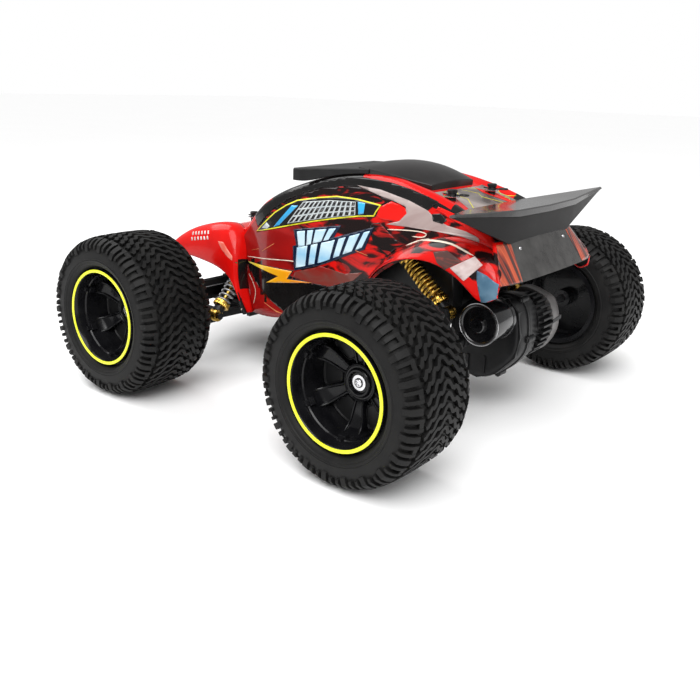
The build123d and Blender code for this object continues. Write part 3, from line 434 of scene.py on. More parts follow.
def build_rim(x, side, name, body):
    """Deep-dish rim: stepped barrel and hub, six channelled spokes with end tabs, and pockets between."""
    place = wheel_place(x, side)
    bm = bmesh.new()
    lathe(bm, RIM_BARREL, place, 96)
    lathe(bm, RIM_RING, place, 96, index=1)
    lathe(bm, RIM_DISH, place, 72)
    for spoke in range(SPOKES):
        def at(radius, across, offset, turn):
            return place((offset, math.hypot(radius, across)), turn + math.atan2(across, radius))

        turn = math.radians(60 * spoke)
        rings = []
        (root_r, root_half), (tip_r, tip_half) = SPOKE_HALF
        for radius, top in SPOKE_RISE:
            w = root_half + (tip_half - root_half) * (radius - root_r) / (tip_r - root_r)
            half = [(w, -1.5), (w, top - 0.9), (w - 0.4, top - 0.2), (w - 1.0, top), (w - 1.6, top - 0.3),
                    (w - 2.0, top - 1.6)]
            rings.append([at(radius, a, o, turn) for a, o in half + [(0.0, top - 1.9)]]
                         + [at(radius, -a, o, turn) for a, o in half[::-1]])
        loft(bm, rings)
        for lift, half_width, depth in ((16.0, 3.4, 3.4), (19.4, 2.2, 2.0)):
            outline = [(-half_width, 0.0), (half_width, 0.0), (half_width * 0.8, -depth),
                       (-half_width * 0.8, -depth)]
            loft(bm, [[at(TAB_R + r * shrink, across, lift + rise, turn) for across, r in outline]
                      for shrink, rise in ((1.0, 0.0), (0.8, 4.0))])
        between = turn + math.radians(30)
        pocket = POCKET + [(r, -a) for r, a in POCKET[-2::-1]]
        rings = [[at(22.5 + (r - 22.5) * k, a * k, o, between) for r, a in pocket]
                 for o, k in ((-1.0, 1.04), (1.2, 1.04), (1.9, 1.0), (1.9, 0.93), (1.1, 0.88))]
        loft(bm, rings, 2)
    rim = make_object(name, bm, [rim_gloss, ring_yellow, satin], body, "rim_black", 30.0)
    bevel(rim, 0.18)
    return rim


def bevel(obj, width_mm):
    """Small rounded edges that catch the light."""
    mod = obj.modifiers.new("edges", "BEVEL")
    mod.width = width_mm * MM
    mod.segments = 2
    mod.limit_method = "ANGLE"
    mod.angle_limit = math.radians(32)
    mod.harden_normals = True
    return obj


# dome of a screw head, in shares of its height and radius
DOME = [(0.0, 0.92), (0.25, 1.0), (0.6, 0.95), (0.88, 0.84), (1.0, 0.68)]


def cross_screw(bm, centre, direction, radius, height, index=0):
    """Domed screw head with a cross-shaped driver recess."""
    place = axis_frame(centre, direction)
    arm, half, depth = radius * 0.62, radius * 0.17, height * 0.55
    cross = [(arm, half), (half, half), (half, arm), (-half, arm), (-half, half), (-arm, half), (-arm, -half),
             (-half, -half), (-half, -arm), (half, -arm), (half, -half), (arm, -half)]
    segments = 36

    def ring(s, r):
        return [bm.verts.new(place((s, r), 2 * math.pi * i / segments)) for i in range(segments)]

    rows = [ring(height * s, radius * r) for s, r in DOME]
    join_rings(bm, rows, index)
    bm.faces.new(rows[0]).material_index = index

    def cross_ring(s, k):
        return [bm.verts.new(place((s, math.hypot(px, py) * k), math.atan2(py, px))) for px, py in cross]

    top, low = cross_ring(height, 1.0), cross_ring(height - depth, 0.7)
    edges = []
    for row in (rows[-1], top):
        for i, vert in enumerate(row):
            edge = bm.edges.get((vert, row[(i + 1) % len(row)]))
            edges.append(edge or bm.edges.new((vert, row[(i + 1) % len(row)])))
    made = bmesh.ops.triangle_fill(bm, edges=edges, use_beauty=True, use_dissolve=False)
    for item in made["geom"]:
        if isinstance(item, bmesh.types.BMFace):
            item.material_index = index
    join_rings(bm, [top, low], index)
    bm.faces.new(low).material_index = index


def build_wheel_screw(x, side, bm):
    cross_screw(bm, (x, side * (WHEEL_Y + 3.9), AXLE_Z), (0, side, 0), 3.2, 1.9)
    lathe(bm, [(-0.9, 2.6), (-0.9, 5.0), (0.0, 5.0), (0.0, 2.6)],
          axis_frame((x, side * (WHEEL_Y + 4.4), AXLE_Z), (0, side, 0)), 40)


rear_screws = bmesh.new()
for side_name, side in SIDES:
    for end, x, body in (("front", FRONT_X, f"front_{side_name}_wheel"), ("rear", REAR_X, "rear_axle")):
        tyre = build_tyre(x, side, f"{end}_{side_name}_treaded_tyre", body)
        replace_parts(tyre, f"{end}_{side_name}_tyre")
        rim = build_rim(x, side, f"{end}_{side_name}_dished_rim", body)
        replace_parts(rim, f"{end}_{side_name}_rim")
    front_screw = bmesh.new()
    build_wheel_screw(FRONT_X, side, front_screw)
    build_wheel_screw(REAR_X, side, rear_screws)
    head = make_object(f"front_{side_name}_hub_screw", front_screw, [bright_steel],
                       f"front_{side_name}_knuckle", "bright_screw")
    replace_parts(head, f"front_{side_name}_wheel_screw")
head = make_object("rear_hub_screws", rear_screws, [bright_steel], "rear_axle", "bright_screw")
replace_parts(head, "rear_wheel_screws")

# ---------------------------------------------------------------- body shell
def smooth_curve(*points):
    """A function through (position, value) points, smooth between them and held at the ends."""
    points = sorted(points)

    def slope(i):
        a, b = points[max(i - 1, 0)], points[min(i + 1, len(points) - 1)]
        return (b[1] - a[1]) / (b[0] - a[0])

    def value(x):
        if x <= points[0][0]:
            return points[0][1]
        if x >= points[-1][0]:
            return points[-1][1]
        i = max(k for k, point in enumerate(points) if point[0] <= x)
        (x0, y0), (x1, y1) = points[i], points[i + 1]
        run = x1 - x0
        t = (x - x0) / run
        return ((2 * t**3 - 3 * t**2 + 1) * y0 + (t**3 - 2 * t**2 + t) * run * slope(i)
                + (-2 * t**3 + 3 * t**2) * y1 + (t**3 - t**2) * run * slope(i + 1))

    return value


def through(*points):
    """A smooth function of t from 0 to 1 through evenly numbered points in space or in a plane."""
    size = len(points) - 1
    parts = [smooth_curve(*[(i / size, value) for i, value in enumerate(values)]) for values in zip(*points)]
    return lambda t: Vector([part(t) for part in parts])


RAIL = smooth_curve((99, 115.5), (80, 133), (62, 148), (37, 161), (-1, 173), (-33, 177.2), (-67, 174.4),
                    (-101, 166.4), (-122, 158.6), (-140, 150), (-153, 141))
CENTRE = smooth_curve((99, 117.5), (80, 136.5), (62, 151.5), (37, 164.5), (-1, 175), (-33, 178.2),
                      (-60, 175.5), (-78, 169), (-98, 163), (-122, 154.5), (-140, 146), (-153, 139.5))
SIDE_WIDTH = smooth_curve((40, 57), (70, 60.5), (95, 62), (120, 60), (145, 55.2), (163, 50), (180, 44))
PLAN_WIDTH = smooth_curve((105, 46), (85, 51.5), (60, 58), (20, 63), (-90, 63), (-135, 56), (-175, 50))
SILL = smooth_curve((80, 49.5), (52, 51), (30, 55), (0, 56), (-33, 54))
FRONT_EDGE = smooth_curve((80, 50), (88, 76), (93, 96), (99, 113.5))
ARCH_X, ARCH_Z, ARCH_R = -111.0, 49.0, 78.0
SHOULDER = 8.0
TAIL_X, COWL_X = -153.0, 99.0
SIDE_ZONE, RAIL_ZONE, ROOF_ZONE = range(3)


def side_y(x, z):
    """Half width of the cabin: the narrower of the front and top view's outlines, softly joined."""
    soft = 1.4
    return -soft * math.log(math.exp(-SIDE_WIDTH(z) / soft) + math.exp(-PLAN_WIDTH(x) / soft))


def low_z(x):
    """Lower edge of the cabin side: wheel arch, sill, then the seam behind the front fender."""
    if x < ARCH_X + ARCH_R:
        return ARCH_Z + math.sqrt(max(ARCH_R**2 - (x - ARCH_X) ** 2, 0))
    return SILL(x) if x <= 80 else FRONT_EDGE(x)


def cabin_section(x):
    """Points from the lower left edge over the roof to the centre line, with a paint zone for each gap."""
    rail, centre = RAIL(x), CENTRE(x)
    shoulder_z = rail - SHOULDER
    low = min(low_z(x), shoulder_z - 0.5)
    points, zones = [], []
    for i in range(16):
        z = low + (shoulder_z - low) * i / 15
        points.append((side_y(x, z), z))
        zones.append(SIDE_ZONE)
    top_y = side_y(x, shoulder_z)
    for i in range(1, 6):
        turn = math.pi / 2 * i / 5
        points.append((top_y - SHOULDER * (1 - math.cos(turn)), shoulder_z + SHOULDER * math.sin(turn)))
        zones.append(RAIL_ZONE)
    inner_y = top_y - SHOULDER
    for i in range(1, 11):
        share = 1 - i / 10
        edge = max(0.0, (share - 0.82) / 0.18) ** 2 if centre < rail else share**2
        points.append((inner_y * share, centre + (rail - centre) * edge))
        zones.append(RAIL_ZONE if i < 2 else ROOF_ZONE)
    return points, zones[1:]


def solidify(obj, thickness_mm):
    """Thickness on the inner side of a surface."""
    mod = obj.modifiers.new("skin", "SOLIDIFY")
    mod.thickness = thickness_mm * MM
    mod.offset = -1.0
    return mod


def build_skin(name, rows, zones, materials, thickness, levels=0):
    """Painted skin of even thickness through rows of points, dark on its inner side."""
    bm = bmesh.new()
    made = [[bm.verts.new(p) for p in row] for row in rows]
    for k, (a, b) in enumerate(zip(made, made[1:])):
        for i in range(len(a) - 1):
            face = bm.faces.new((a[i], a[i + 1], b[i + 1], b[i]))
            face.material_index = zones(k, i)
    bmesh.ops.remove_doubles(bm, verts=bm.verts, dist=0.01)
    bmesh.ops.recalc_face_normals(bm, faces=bm.faces)
    middle = Vector((sum(vert.co.x for vert in bm.verts) / len(bm.verts), 0.0, AXLE_Z))
    outward = sum((f.normal.dot(f.calc_center_median() - middle) > 0) - 0.5 for f in bm.faces)
    if outward < 0:
        bmesh.ops.reverse_faces(bm, faces=bm.faces)
    obj = add_piece(name, bm, (*materials, satin), "chassis", "body_paint")
    if levels:
        smooth = obj.modifiers.new("smooth", "SUBSURF")
        smooth.levels = smooth.render_levels = levels
    skin = solidify(obj, thickness)
    skin.use_even_offset = True
    skin.material_offset = len(materials)
    skin.material_offset_rim = 0
    return obj


def both_sides(row):
    """A half section (y, z) at one x, mirrored over the centre line."""
    return row + [(-y, z) for y, z in reversed(row[:-1])]


def cabin_stations():
    """Lengths at which the cabin is cut: 3 mm apart, closer where the wheel arch ends in a steep edge."""
    arch_front = ARCH_X + ARCH_R
    steps = [TAIL_X + 3 * i for i in range(int((arch_front - TAIL_X) / 3) + 1)]
    steps += [arch_front - 1.6, arch_front - 0.8, arch_front - 0.2, arch_front + 0.01]
    steps += [arch_front + 3 * i for i in range(1, math.ceil((COWL_X - 1 - arch_front) / 3))]
    return sorted(set(steps + [COWL_X]))


# the torn strokes give way to plain door red between these lengths, in metres, shifted by the strokes
DOOR_START, DOOR_END = 0.040, 0.052
WANDER = 0.05


def shell_paint():
    """Red shell: deep red towards the front door, torn black strokes towards the tail."""
    mat, nodes, links, shader = new_material("body_paint")
    strokes = noise(nodes, links, coordinates(nodes, links, (34, 40, 70)), 1.0, 8.0, 1.3)
    torn = ramp(nodes, links, strokes, [(0.42, (0.008, 0.003, 0.003)), (0.475, (0.05, 0.004, 0.004)),
                                        (0.51, (0.34, 0.007, 0.005)), (0.58, RED)])
    streaks = noise(nodes, links, coordinates(nodes, links, (14, 20, 60)), 1.0, 4.0, 0.5)
    door = ramp(nodes, links, streaks, [(0.3, (0.20, 0.006, 0.006)), (0.62, (0.36, 0.008, 0.007)),
                                        (0.72, (0.50, 0.012, 0.010))])
    wander = add_scaled(nodes, links, strokes, WANDER, along(nodes, links, "X"))
    mix = nodes.new("ShaderNodeMix")
    mix.data_type = "RGBA"
    links.new(spread(nodes, links, wander, start=DOOR_START, end=DOOR_END), mix.inputs["Factor"])
    links.new(torn, mix.inputs["A"])
    links.new(door, mix.inputs["B"])
    links.new(mix.outputs["Result"], shader.inputs["Base Color"])
    setup(shader, Roughness=0.22, Specular_IOR_Level=0.12, Coat_Weight=0.35, Coat_Roughness=0.03)
    add_bump(nodes, links, shader, noise(nodes, links, coordinates(nodes, links), 500.0, 2.0), 0.015)
    return mat


def gloss(name, dark, light, patch=40.0, coat=0.3):
    """Glossy lacquer over a slightly uneven colour."""
    return finish_material(name, dark, light, (0.16, 0.24), patch=patch, grain=600.0, depth=0.012, coat=coat,
                           specular=0.12)


paint = shell_paint()
paint_red = gloss("paint_red", (0.56, 0.004, 0.003), (0.70, 0.007, 0.005))
paint_black = gloss("paint_black", (0.004, 0.004, 0.004), (0.009, 0.008, 0.008), coat=0.6)
# deck behind the pad: smoky print, lightened as a painted reflection of the pale studio
deck_smoke_and_reflection = brushed_paint("deck_smoke_and_reflection", [(0.35, (0.10, 0.085, 0.08)), (0.6, (0.34, 0.29, 0.27))],
                           (30, 30, 30), 1.0)


CABIN_PAINTS = [paint, paint_red, paint_black, deck_smoke_and_reflection]
# the deck's colour holds a painted reflection over its smoky print
PAINT_RED, PAINT_BLACK, DECK_SMOKE_AND_REFLECTION = 1, 2, 3
SCREEN_X, RAIL_END_X, PILLAR_X, DECK_X = 40, 58, 56, -84


def cabin_zone(stations):
    """Paint of each face of the cabin: side, black rail band, then windscreen, roof or deck."""
    _, half = cabin_section(0.0)
    count = len(half)

    def zone(k, i):
        x = (stations[k] + stations[k + 1]) / 2
        strip = i if i < count else 2 * count - 1 - i
        if half[strip] == SIDE_ZONE:
            z = cabin_section(x)[0][strip][1]
            seam = x > PILLAR_X and 77.5 - 0.9 * (76 - x) < z < 91 + 0.03 * (x - PILLAR_X)
            return PAINT_BLACK if seam else 0
        if half[strip] == RAIL_ZONE:
            red_edge = -112 < x < -30 and strip >= 17
            return PAINT_BLACK if x < RAIL_END_X and not red_edge else PAINT_RED
        if x > SCREEN_X:
            return PAINT_BLACK
        return PAINT_RED if x > DECK_X else DECK_SMOKE_AND_REFLECTION

    return zone


def build_cabin():
    stations = cabin_stations()
    rows = [[(x, y, z) for y, z in both_sides(cabin_section(x)[0])] for x in stations]
    return build_skin("cabin_shell", rows, cabin_zone(stations), CABIN_PAINTS, CABIN_SKIN)


REAR_CREST = through((-50, 62, 102), (-60, 62, 114), (-74, 62, 125.5), (-88, 62, 133.5), (-102, 62, 139.5),
                     (-117, 62, 142), (-132, 62, 141), (-146, 63, 137.2), (-154.5, 66, 132),
                     (-160.5, 69.5, 125.5), (-164, 71, 117.5))
REAR_LIP = through((-48, 63.5, 95), (-58, 70, 106), (-70, 76, 115.5), (-86, 79.5, 124), (-103, 80, 127.6),
                   (-119, 80, 126.6), (-134, 80, 121.0), (-144.5, 79.2, 113.2), (-150, 78, 108.2),
                   (-156, 76, 106.6), (-163, 72.4, 110.4))


def fender_rows(crest, lip, shape, steps, side, clear=lambda x: 0.0):
    """Rows across a fender: each point blends crest (0) and lip (1), plus an outward and an upward push.

    clear gives the least distance from the centre line.
    """
    rows = []
    for k in range(steps + 1):
        a, b = crest(k / steps), lip(k / steps)
        row = []
        for share_x, share_y, share_z, out, up in shape:
            p = Vector((a.x + (b.x - a.x) * share_x, a.y + (b.y - a.y) * share_y + out,
                        a.z + (b.z - a.z) * share_z + up))
            row.append((p.x, side * max(p.y, clear(p.x)), p.z))
        rows.append(row)
    return rows


REAR_SHAPE = [(0.0, 0.0, 0.0, -12.0, 1.0), (0.0, 0.0, 0.0, -4.0, 0.6), (0.02, 0.12, 0.0, 0.0, 0.0),
              (0.1, 0.34, 0.10, 0.6, 0.3), (0.35, 0.62, 0.36, 1.0, 0.4), (0.68, 0.84, 0.70, 0.6, 0.0),
              (0.86, 0.95, 0.88, 0.4, 0.0), (0.94, 1.0, 0.95, 0.0, 0.0), (1.0, 1.0, 1.0, 0.0, 0.0),
              (1.0, 1.0, 1.0, -1.6, -0.1)]
FRONT_CREST = through((77.4, 62.5, 50), (80.5, 62.5, 60), (83.5, 62.5, 70), (85.8, 62, 80), (86.2, 61.5, 89),
                      (87, 60, 97), (89.5, 58, 106), (93.5, 55, 114), (100, 52, 120.5), (112, 50, 122.6),
                      (130, 50, 119.4), (150, 50, 113.2), (166, 50, 104.5), (175, 50, 96.5))
FRONT_LIP = through((75.6, 64.5, 50), (80, 66.4, 60), (84.9, 67, 68.5), (89.4, 67, 74.6), (95, 67, 80.6),
                    (104, 67, 84.8), (113, 67, 87.2), (122, 67, 88.6), (132, 67, 89.8), (141, 67, 90.6),
                    (150, 67, 91), (159, 67, 91.2), (168, 66, 91.4), (175, 62, 91.5))
FRONT_SHAPE = [(0.0, 0.0, 0.0, -10.0, -1.0), (0.0, 0.0, 0.0, -4.0, 0.2), (0.05, 0.2, 0.0, 0.4, 0.4),
               (0.2, 0.5, 0.12, 1.0, 0.6), (0.45, 0.8, 0.38, 1.0, 0.4), (0.72, 0.94, 0.68, 0.5, 0.0),
               (0.92, 1.0, 0.92, 0.1, 0.0), (1.0, 1.0, 1.0, 0.0, 0.0), (1.0, 1.0, 1.0, -1.6, 0.0)]
HOOD_LINE = through((88, 0, 119), (100, 0, 120), (112, 0, 119.6), (122, 0, 118), (132, 0, 115.8),
                    (146, 0, 111.4), (160, 0, 105.2), (171, 0, 98), (175.4, 0, 93), (176, 0, 88),
                    (174, 0, 84))


SHOCK_END_X, SHOCK_CLEAR = -96, 58.4    # the rear fenders keep outside the shocks ahead of this length
HOOD_HALF = 45.0
CABIN_SKIN, FENDER_SKIN = 1.4, 1.3
ACROSS = [i / 8 - 1 for i in range(17)]   # shares of a panel's half width, from right to left
TAIL_TOP = 143.0


def shock_clearance(x):
    return SHOCK_CLEAR if x > SHOCK_END_X else 0.0


def rear_zone(k, i):
    """The outer half of a rear fender and its front end are plain red."""
    return 1 if i >= 5 or k < 3 else 0


def front_zone(k, i):
    """The inner edge of a front fender is black beside the door."""
    return 1 if i < 2 and 5 <= k <= 11 else 0


def build_fenders():
    """The four fenders and the hood between the front two."""
    parts = []
    for side_name, side in SIDES:
        rear = fender_rows(REAR_CREST, REAR_LIP, REAR_SHAPE, 30, side, shock_clearance)
        front = fender_rows(FRONT_CREST, FRONT_LIP, FRONT_SHAPE, 33, side)
        parts.append(build_skin(f"rear_{side_name}_fender", rear, rear_zone, [paint, paint_red],
                                FENDER_SKIN, 1))
        parts.append(build_skin(f"front_{side_name}_fender", front, front_zone, [paint_red, paint_black],
                                FENDER_SKIN, 1))
    rows = []
    for k in range(31):
        p = HOOD_LINE(k / 30)
        rows.append([(p.x - 2.0 * s**2 * (k / 30), HOOD_HALF * s, p.z - 1.6 * s**2) for s in ACROSS])
    parts.append(build_skin("hood_panel", rows, lambda k, i: 0, [paint_red], FENDER_SKIN))
    return parts


def build_tail_panel():
    """Dark panel that closes the tail between the fender tips, with painted edges."""
    bm = bmesh.new()
    rings = []
    for k in range(9):
        t = k / 8
        half = 57.0 + 15.5 * t**0.85
        x, z = TAIL_X + 0.4 - 14.6 * t, TAIL_TOP - 25.2 * t
        outer = [(x - 1.6 * (1 - s**2) + 3.0 * s**8, half * s, z) for s in ACROSS]
        rings.append(outer + [(x + 1.6, y, z + 0.6) for x, y, z in reversed(outer)])
    loft(bm, rings)
    for face in bm.faces:
        middle = face.calc_center_median()
        if abs(middle.y) > 52 + 0.55 * (TAIL_TOP - middle.z):
            face.material_index = 1
    return make_object("tail_panel", bm, [panel_dark, paint], "chassis", "body_paint")


panel_dark = finish_material("panel_dark", (0.03, 0.029, 0.028), (0.06, 0.058, 0.056), (0.18, 0.3), coat=0.3,
                             specular=0.2)
cabin = build_cabin()
fenders = build_fenders()
tail_panel = build_tail_panel()
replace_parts(cabin, "body_shell")

# ---------------------------------------------------------------- roof visor and pad
VISOR_HALF = smooth_curve((34, 53.4), (24, 53.2), (16, 50.6), (8, 48.2), (-10, 46.4), (-34, 44.6))
VISOR_TOP = smooth_curve((34, 176.2), (20, 176.8), (0, 178.4), (-20, 180.0), (-34, 180.8))
VISOR_LOW = smooth_curve((34, 166.4), (24, 166.6), (16, 168), (8, 170.2), (-5, 173.0), (-18, 175.2),
                         (-34, 177.0))
PAD_HALF = smooth_curve((-24, 44.4), (-40, 43.2), (-52, 41), (-66, 37), (-81, 29.6))
PAD_EDGE = smooth_curve((-24, 181.4), (-34, 180.6), (-52, 178.0), (-66, 175.2), (-81, 172.0))
PAD_TOP = smooth_curve((-24, 184.0), (-34, 185.2), (-46, 185.2), (-58, 183.8), (-70, 180.4), (-77, 176.8),
                       (-81, 173.6))


def build_visor():
    """Roof visor: a thin crowned plate whose sides turn down to the roof."""
    bm = bmesh.new()
    rings = []
    for step in range(25):
        x = 34 - 68 * step / 24
        w, top, low = VISOR_HALF(x), VISOR_TOP(x), VISOR_LOW(x)
        outer = [(w - 1.4, low), (w, low + 0.4), (w, top - 1.2), (w - 0.8, top)]
        crown = [(w * k, top) for k in (0.75, 0.5, 0.25)]
        inner = [(w * k - 1, top - 2.4) for k in (0.25, 0.5, 0.75)]
        inner += [(w - 2.2, top - 2.6), (w - 2.2, low + 0.4)]
        right = [(-y, z) for y, z in outer + crown]
        rings.append([(x, y, z) for y, z in outer + crown + [(0, top)] + right[::-1]
                      + [(-y, z) for y, z in inner[::-1]] + [(0, top - 2.4)] + inner])
    loft(bm, rings)
    bmesh.ops.remove_doubles(bm, verts=bm.verts, dist=0.001)
    return bevel(make_object("roof_visor", bm, [satin], "chassis", "scoop_plastic"), 0.35)


def build_pad():
    """Rounded roof pad with a sharp lower edge and a flat rear face."""
    bm = bmesh.new()
    rings = []
    for step in range(23):
        x = -24 - 57 * step / 22
        w, edge, top = PAD_HALF(x), PAD_EDGE(x), PAD_TOP(x)
        half = [(w - 1.2, edge - 5.4), (w - 0.2, edge - 0.8), (w - 0.3, edge)]
        for k in range(1, 13):
            share = 1 - k / 12
            half.append(((w - 0.3) * share, edge + (top - edge) * (1 - share**2.0)))
        rings.append([(x, y, z) for y, z in half + [(-y, z) for y, z in half[-2::-1]]])
    loft(bm, rings)
    return bevel(make_object("roof_pad", bm, [pad_satin], "chassis", "scoop_plastic", 50.0), 0.5)


pad_satin = finish_material("pad_satin", (0.010, 0.009, 0.009), (0.017, 0.015, 0.015), (0.27, 0.36),
                            specular=0.4)
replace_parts(build_visor(), "roof_scoop")
build_pad()


# ---------------------------------------------------------------- drive unit
BOX_OUTLINE = [(-94, 46), (-101, 34), (-120, 30), (-135, 36), (-150, 52), (-153, 68), (-150, 86), (-141, 95),
               (-122, 93), (-104, 84), (-96, 74)]
FIN_PATH = [(-134, 92.5), (-148, 91), (-156, 80), (-157, 66), (-151.5, 53), (-142, 44.5), (-130, 43.5)]
FIN_COUNT = 17
FIN_CORE = (-138, 68)
MOTOR_AT = (-134.5, 80.3)


CURVE_STEPS = 5     # points of a closed curve from one of its corners to the next


def closed_curve(points):
    """A smooth closed loop through points."""
    count = len(points)
    loop = []
    for i in range(count):
        before, a, b, after = (Vector(points[(i + k) % count]) for k in (-1, 0, 1, 2))
        for step in range(CURVE_STEPS):
            t = step / CURVE_STEPS
            loop.append(tuple(0.5 * (2 * a + (b - before) * t + (2 * before - 5 * a + 4 * b - after) * t**2
                                     + (3 * a - before - 3 * b + after) * t**3)))
    return loop


# a cover from its hollow inside over the seam flange to its rounded flank: (distance from the seam, inset)
COVER_STEPS = [(13.4, 1.7), (0.15, 1.7), (0.15, -0.9), (2.4, -0.9), (2.6, 0.0), (11.0, 0.1), (13.0, 0.9),
               (14.4, 2.6), (14.6, 5.0)]
BOSSES = (3, 14, 24, 33, 43, 52)    # points of the rounded outline with a screw boss


def build_gear_covers():
    """Rounded outer skin of the gearbox halves with a seam flange, screw bosses and ribs."""
    loop = closed_curve(BOX_OUTLINE)
    for side_name, side in SIDES:
        bm = bmesh.new()
        stepped(bm, loop, COVER_STEPS, side)
        for i in BOSSES:
            x, z = inset(loop, -0.4)[i]
            lathe(bm, [(0.1, 1.2), (0.1, 2.6), (4.6, 2.6), (5.0, 2.2), (5.0, 1.2)],
                  axis_frame((x, 0, z), (0, side, 0)), 24)
            cross_screw(bm, (x, side * 4.6, z), (0, side, 0), 1.7, 1.0, 1)
        for x, low, high in ((-112, 34, 47), (-126, 35, 48)):
            slab(bm, [(x - 0.8, low), (x + 0.8, low), (x + 0.8, high), (x - 0.8, high)], 13.0, 15.6, side)
        make_object(f"gear_cover_{side_name}", bm, [nylon, black_steel], "rear_unit", "gearbox_nylon", 40.0)


def build_motor():
    """Glossy motor can with a bright edge, a raised band and a bearing boss."""
    x, z = MOTOR_AT
    place = axis_frame((x, 14.0, z), (0, 1, 0))
    bm = bmesh.new()
    lathe(bm, [(0.0, 4.0), (0.0, 14.2), (1.0, 15.0), (1.6, 15.2), (28.2, 15.2), (29.2, 14.9), (29.6, 14.2),
               (29.2, 13.4), (28.6, 12.8), (28.6, 6.4), (30.2, 6.0), (31.6, 5.6), (32.2, 5.0), (32.2, 2.0),
               (31.0, 1.6), (31.0, 0.8), (10.0, 0.8), (10.0, 4.0)], place, 96)
    lathe(bm, [(28.3, 14.9), (28.7, 15.5), (29.2, 15.5), (29.4, 14.9), (28.9, 14.6)], place, 96, 1)
    lathe(bm, [(2.4, 15.0), (2.6, 15.5), (5.4, 15.5), (5.6, 15.0)], place, 96)
    motor = make_object("motor_can", bm, [motor_black, bright_steel], "rear_unit", "motor_can", 30.0)
    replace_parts(motor, "motor")


def build_fins():
    """Cooling cover: a rounded core, fins round its back and a plain end plate."""
    outline = closed_curve([(-124, 91.5), *FIN_PATH[1:-1], (-124, 44.5)])
    bm = bmesh.new()
    stepped(bm, outline, ((-14.2, 4.0), (-31.0, 4.0)))
    stepped(bm, outline, ((-30.2, 1.6), (-30.6, 0.3), (-41.0, 0.3), (-43.2, 1.4), (-44.2, 3.4)), index=1)
    tab = [(-157.4, 70.6), (-157.3, 73.6), (-148, 72.8), (-148, 71.4)]
    loft(bm, [[(x, y, z + rise) for x, z in tab] for y, rise in ((-30.0, 0.0), (-44.3, 1.5))])
    path = through(*FIN_PATH)
    for step in range(FIN_COUNT):
        t = (step + 0.5) / FIN_COUNT
        here = path(t)
        run = (path(min(t + 0.01, 1)) - path(max(t - 0.01, 0))).normalized()
        out = Vector((run.y, -run.x))
        if out.dot(here - Vector(FIN_CORE)) < 0:
            out = -out
        corners = [here + run * across + out * lift
                   for across, lift in ((-1.05, -5.0), (-0.9, 0.2), (0.9, 0.2), (1.05, -5.0))]
        loft(bm, [[(c.x, y, c.y) for c in corners] for y in (-14.4, -30.2)])
    fins = make_object("cooling_fins", bm, [nylon, grey_plate], "rear_unit", "cover_nylon")
    bevel(fins, 0.25)
    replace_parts(fins, "finned_cover")


def build_shade_sheets():
    """Black sheets inside the shell beside the rear tower: painted shade that fills the view into the hollow
    body there.
    """
    bm = bmesh.new()
    outline = [(-34, 66), (-34, 140), (-60, 150), (-96, 140), (-108, 122), (-112, 86), (-102, 66), (-50, 62)]
    for side in (1, -1):
        slab(bm, outline, 39.4, 40.8, side)
    make_object("shade_sheets", bm, [satin], "chassis", "black_nylon")


grey_plate = finish_material("grey_plate", (0.075, 0.070, 0.068), (0.13, 0.12, 0.118), (0.3, 0.42),
                             depth=0.05)
build_gear_covers()
build_motor()
build_fins()
build_shade_sheets()


# ---------------------------------------------------------------- body post washers
POSTS = ((130, 0, 121), (-98, 29, 167), (-98, -29, 167))


def build_washers():
    """Bright washers under the clips, and the round heads of the body posts."""
    bm = bmesh.new()
    for x, y, clip_z in POSTS:
        place = axis_frame((x, y, clip_z), (0, 0, 1))
        lathe(bm, [(-1.7, 3.1), (-1.7, 5.2), (-1.4, 5.6), (-1.1, 5.6), (-0.9, 5.2), (-0.9, 3.1)], place, 32)
        lathe(bm, [(1.2, 2.8), (1.4, 3.7), (3.2, 3.7), (3.7, 3.1), (3.7, 0.0)], place, 32, 1)
    make_object("post_washers", bm, [bright_steel, satin], "chassis", "clip_steel")


build_washers()


# ---------------------------------------------------------------- rear wing
WING_ROOT, WING_TIP = 44.0, 112.6


def wing_ring(y):
    """Section of the wing at a side position: raised lip, undercut back, thin front edge."""
    flat = min(abs(y) / WING_ROOT, 1.0)
    s = max(0.0, (abs(y) - WING_ROOT) / (WING_TIP - WING_ROOT))

    def mix(a, b):
        return Vector(a).lerp(Vector(b), s)

    rear = mix((-161 + 1.5 * flat, 164.3 + 0.3 * flat), (-151.6, 167.2))
    lip = 4.4 - 3.0 * s
    low = mix((-154.3, 140.6), (-150.6, 165.2))
    under = mix((-122, 154.6), (-147.8, 165.0))
    front = mix((-121, 160.6), (-147.4, 166.4))
    points = [(rear.x + 1.0, rear.y), (rear.x, rear.y - 0.7), (rear.x - 0.4, rear.y - lip),
              (rear.x + 0.7 - 0.5 * s, rear.y - lip - 0.7 + 0.5 * s), low, (low.x + 3 - 2.4 * s, low.y),
              under, (front.x - 0.2, front.y - 0.8), (front.x + 0.6 - 0.8 * s, front.y)]
    return [(x, y, z) for x, z in points]


def build_wing():
    """Wing, glossy above and dull below, with two screws in its back; its top is painted lighter and its
    underside darker, as painted light and shade.
    """
    bm = bmesh.new()
    half = [22, WING_ROOT, 60, 75, 90, 104, WING_TIP]
    loft(bm, [wing_ring(y) for y in [-y for y in reversed(half)] + [0] + half])
    for side in (1, -1):
        cross_screw(bm, (-156.6, side * 34, 137.0), (-1, 0, 0.2), 1.5, 0.8, 1)
    bmesh.ops.recalc_face_normals(bm, faces=bm.faces)
    # faces that look down take the darker, duller copy: painted shade on the underside
    for face in bm.faces:
        if face.normal.z < -0.05 and face.material_index == 0:
            face.material_index = 2
    wing = make_object("tail_wing", bm, [wing_gloss_lit, bright_steel, wing_dull_shaded], "chassis", "wing_plastic",
                       24.0)
    return bevel(wing, 0.3)


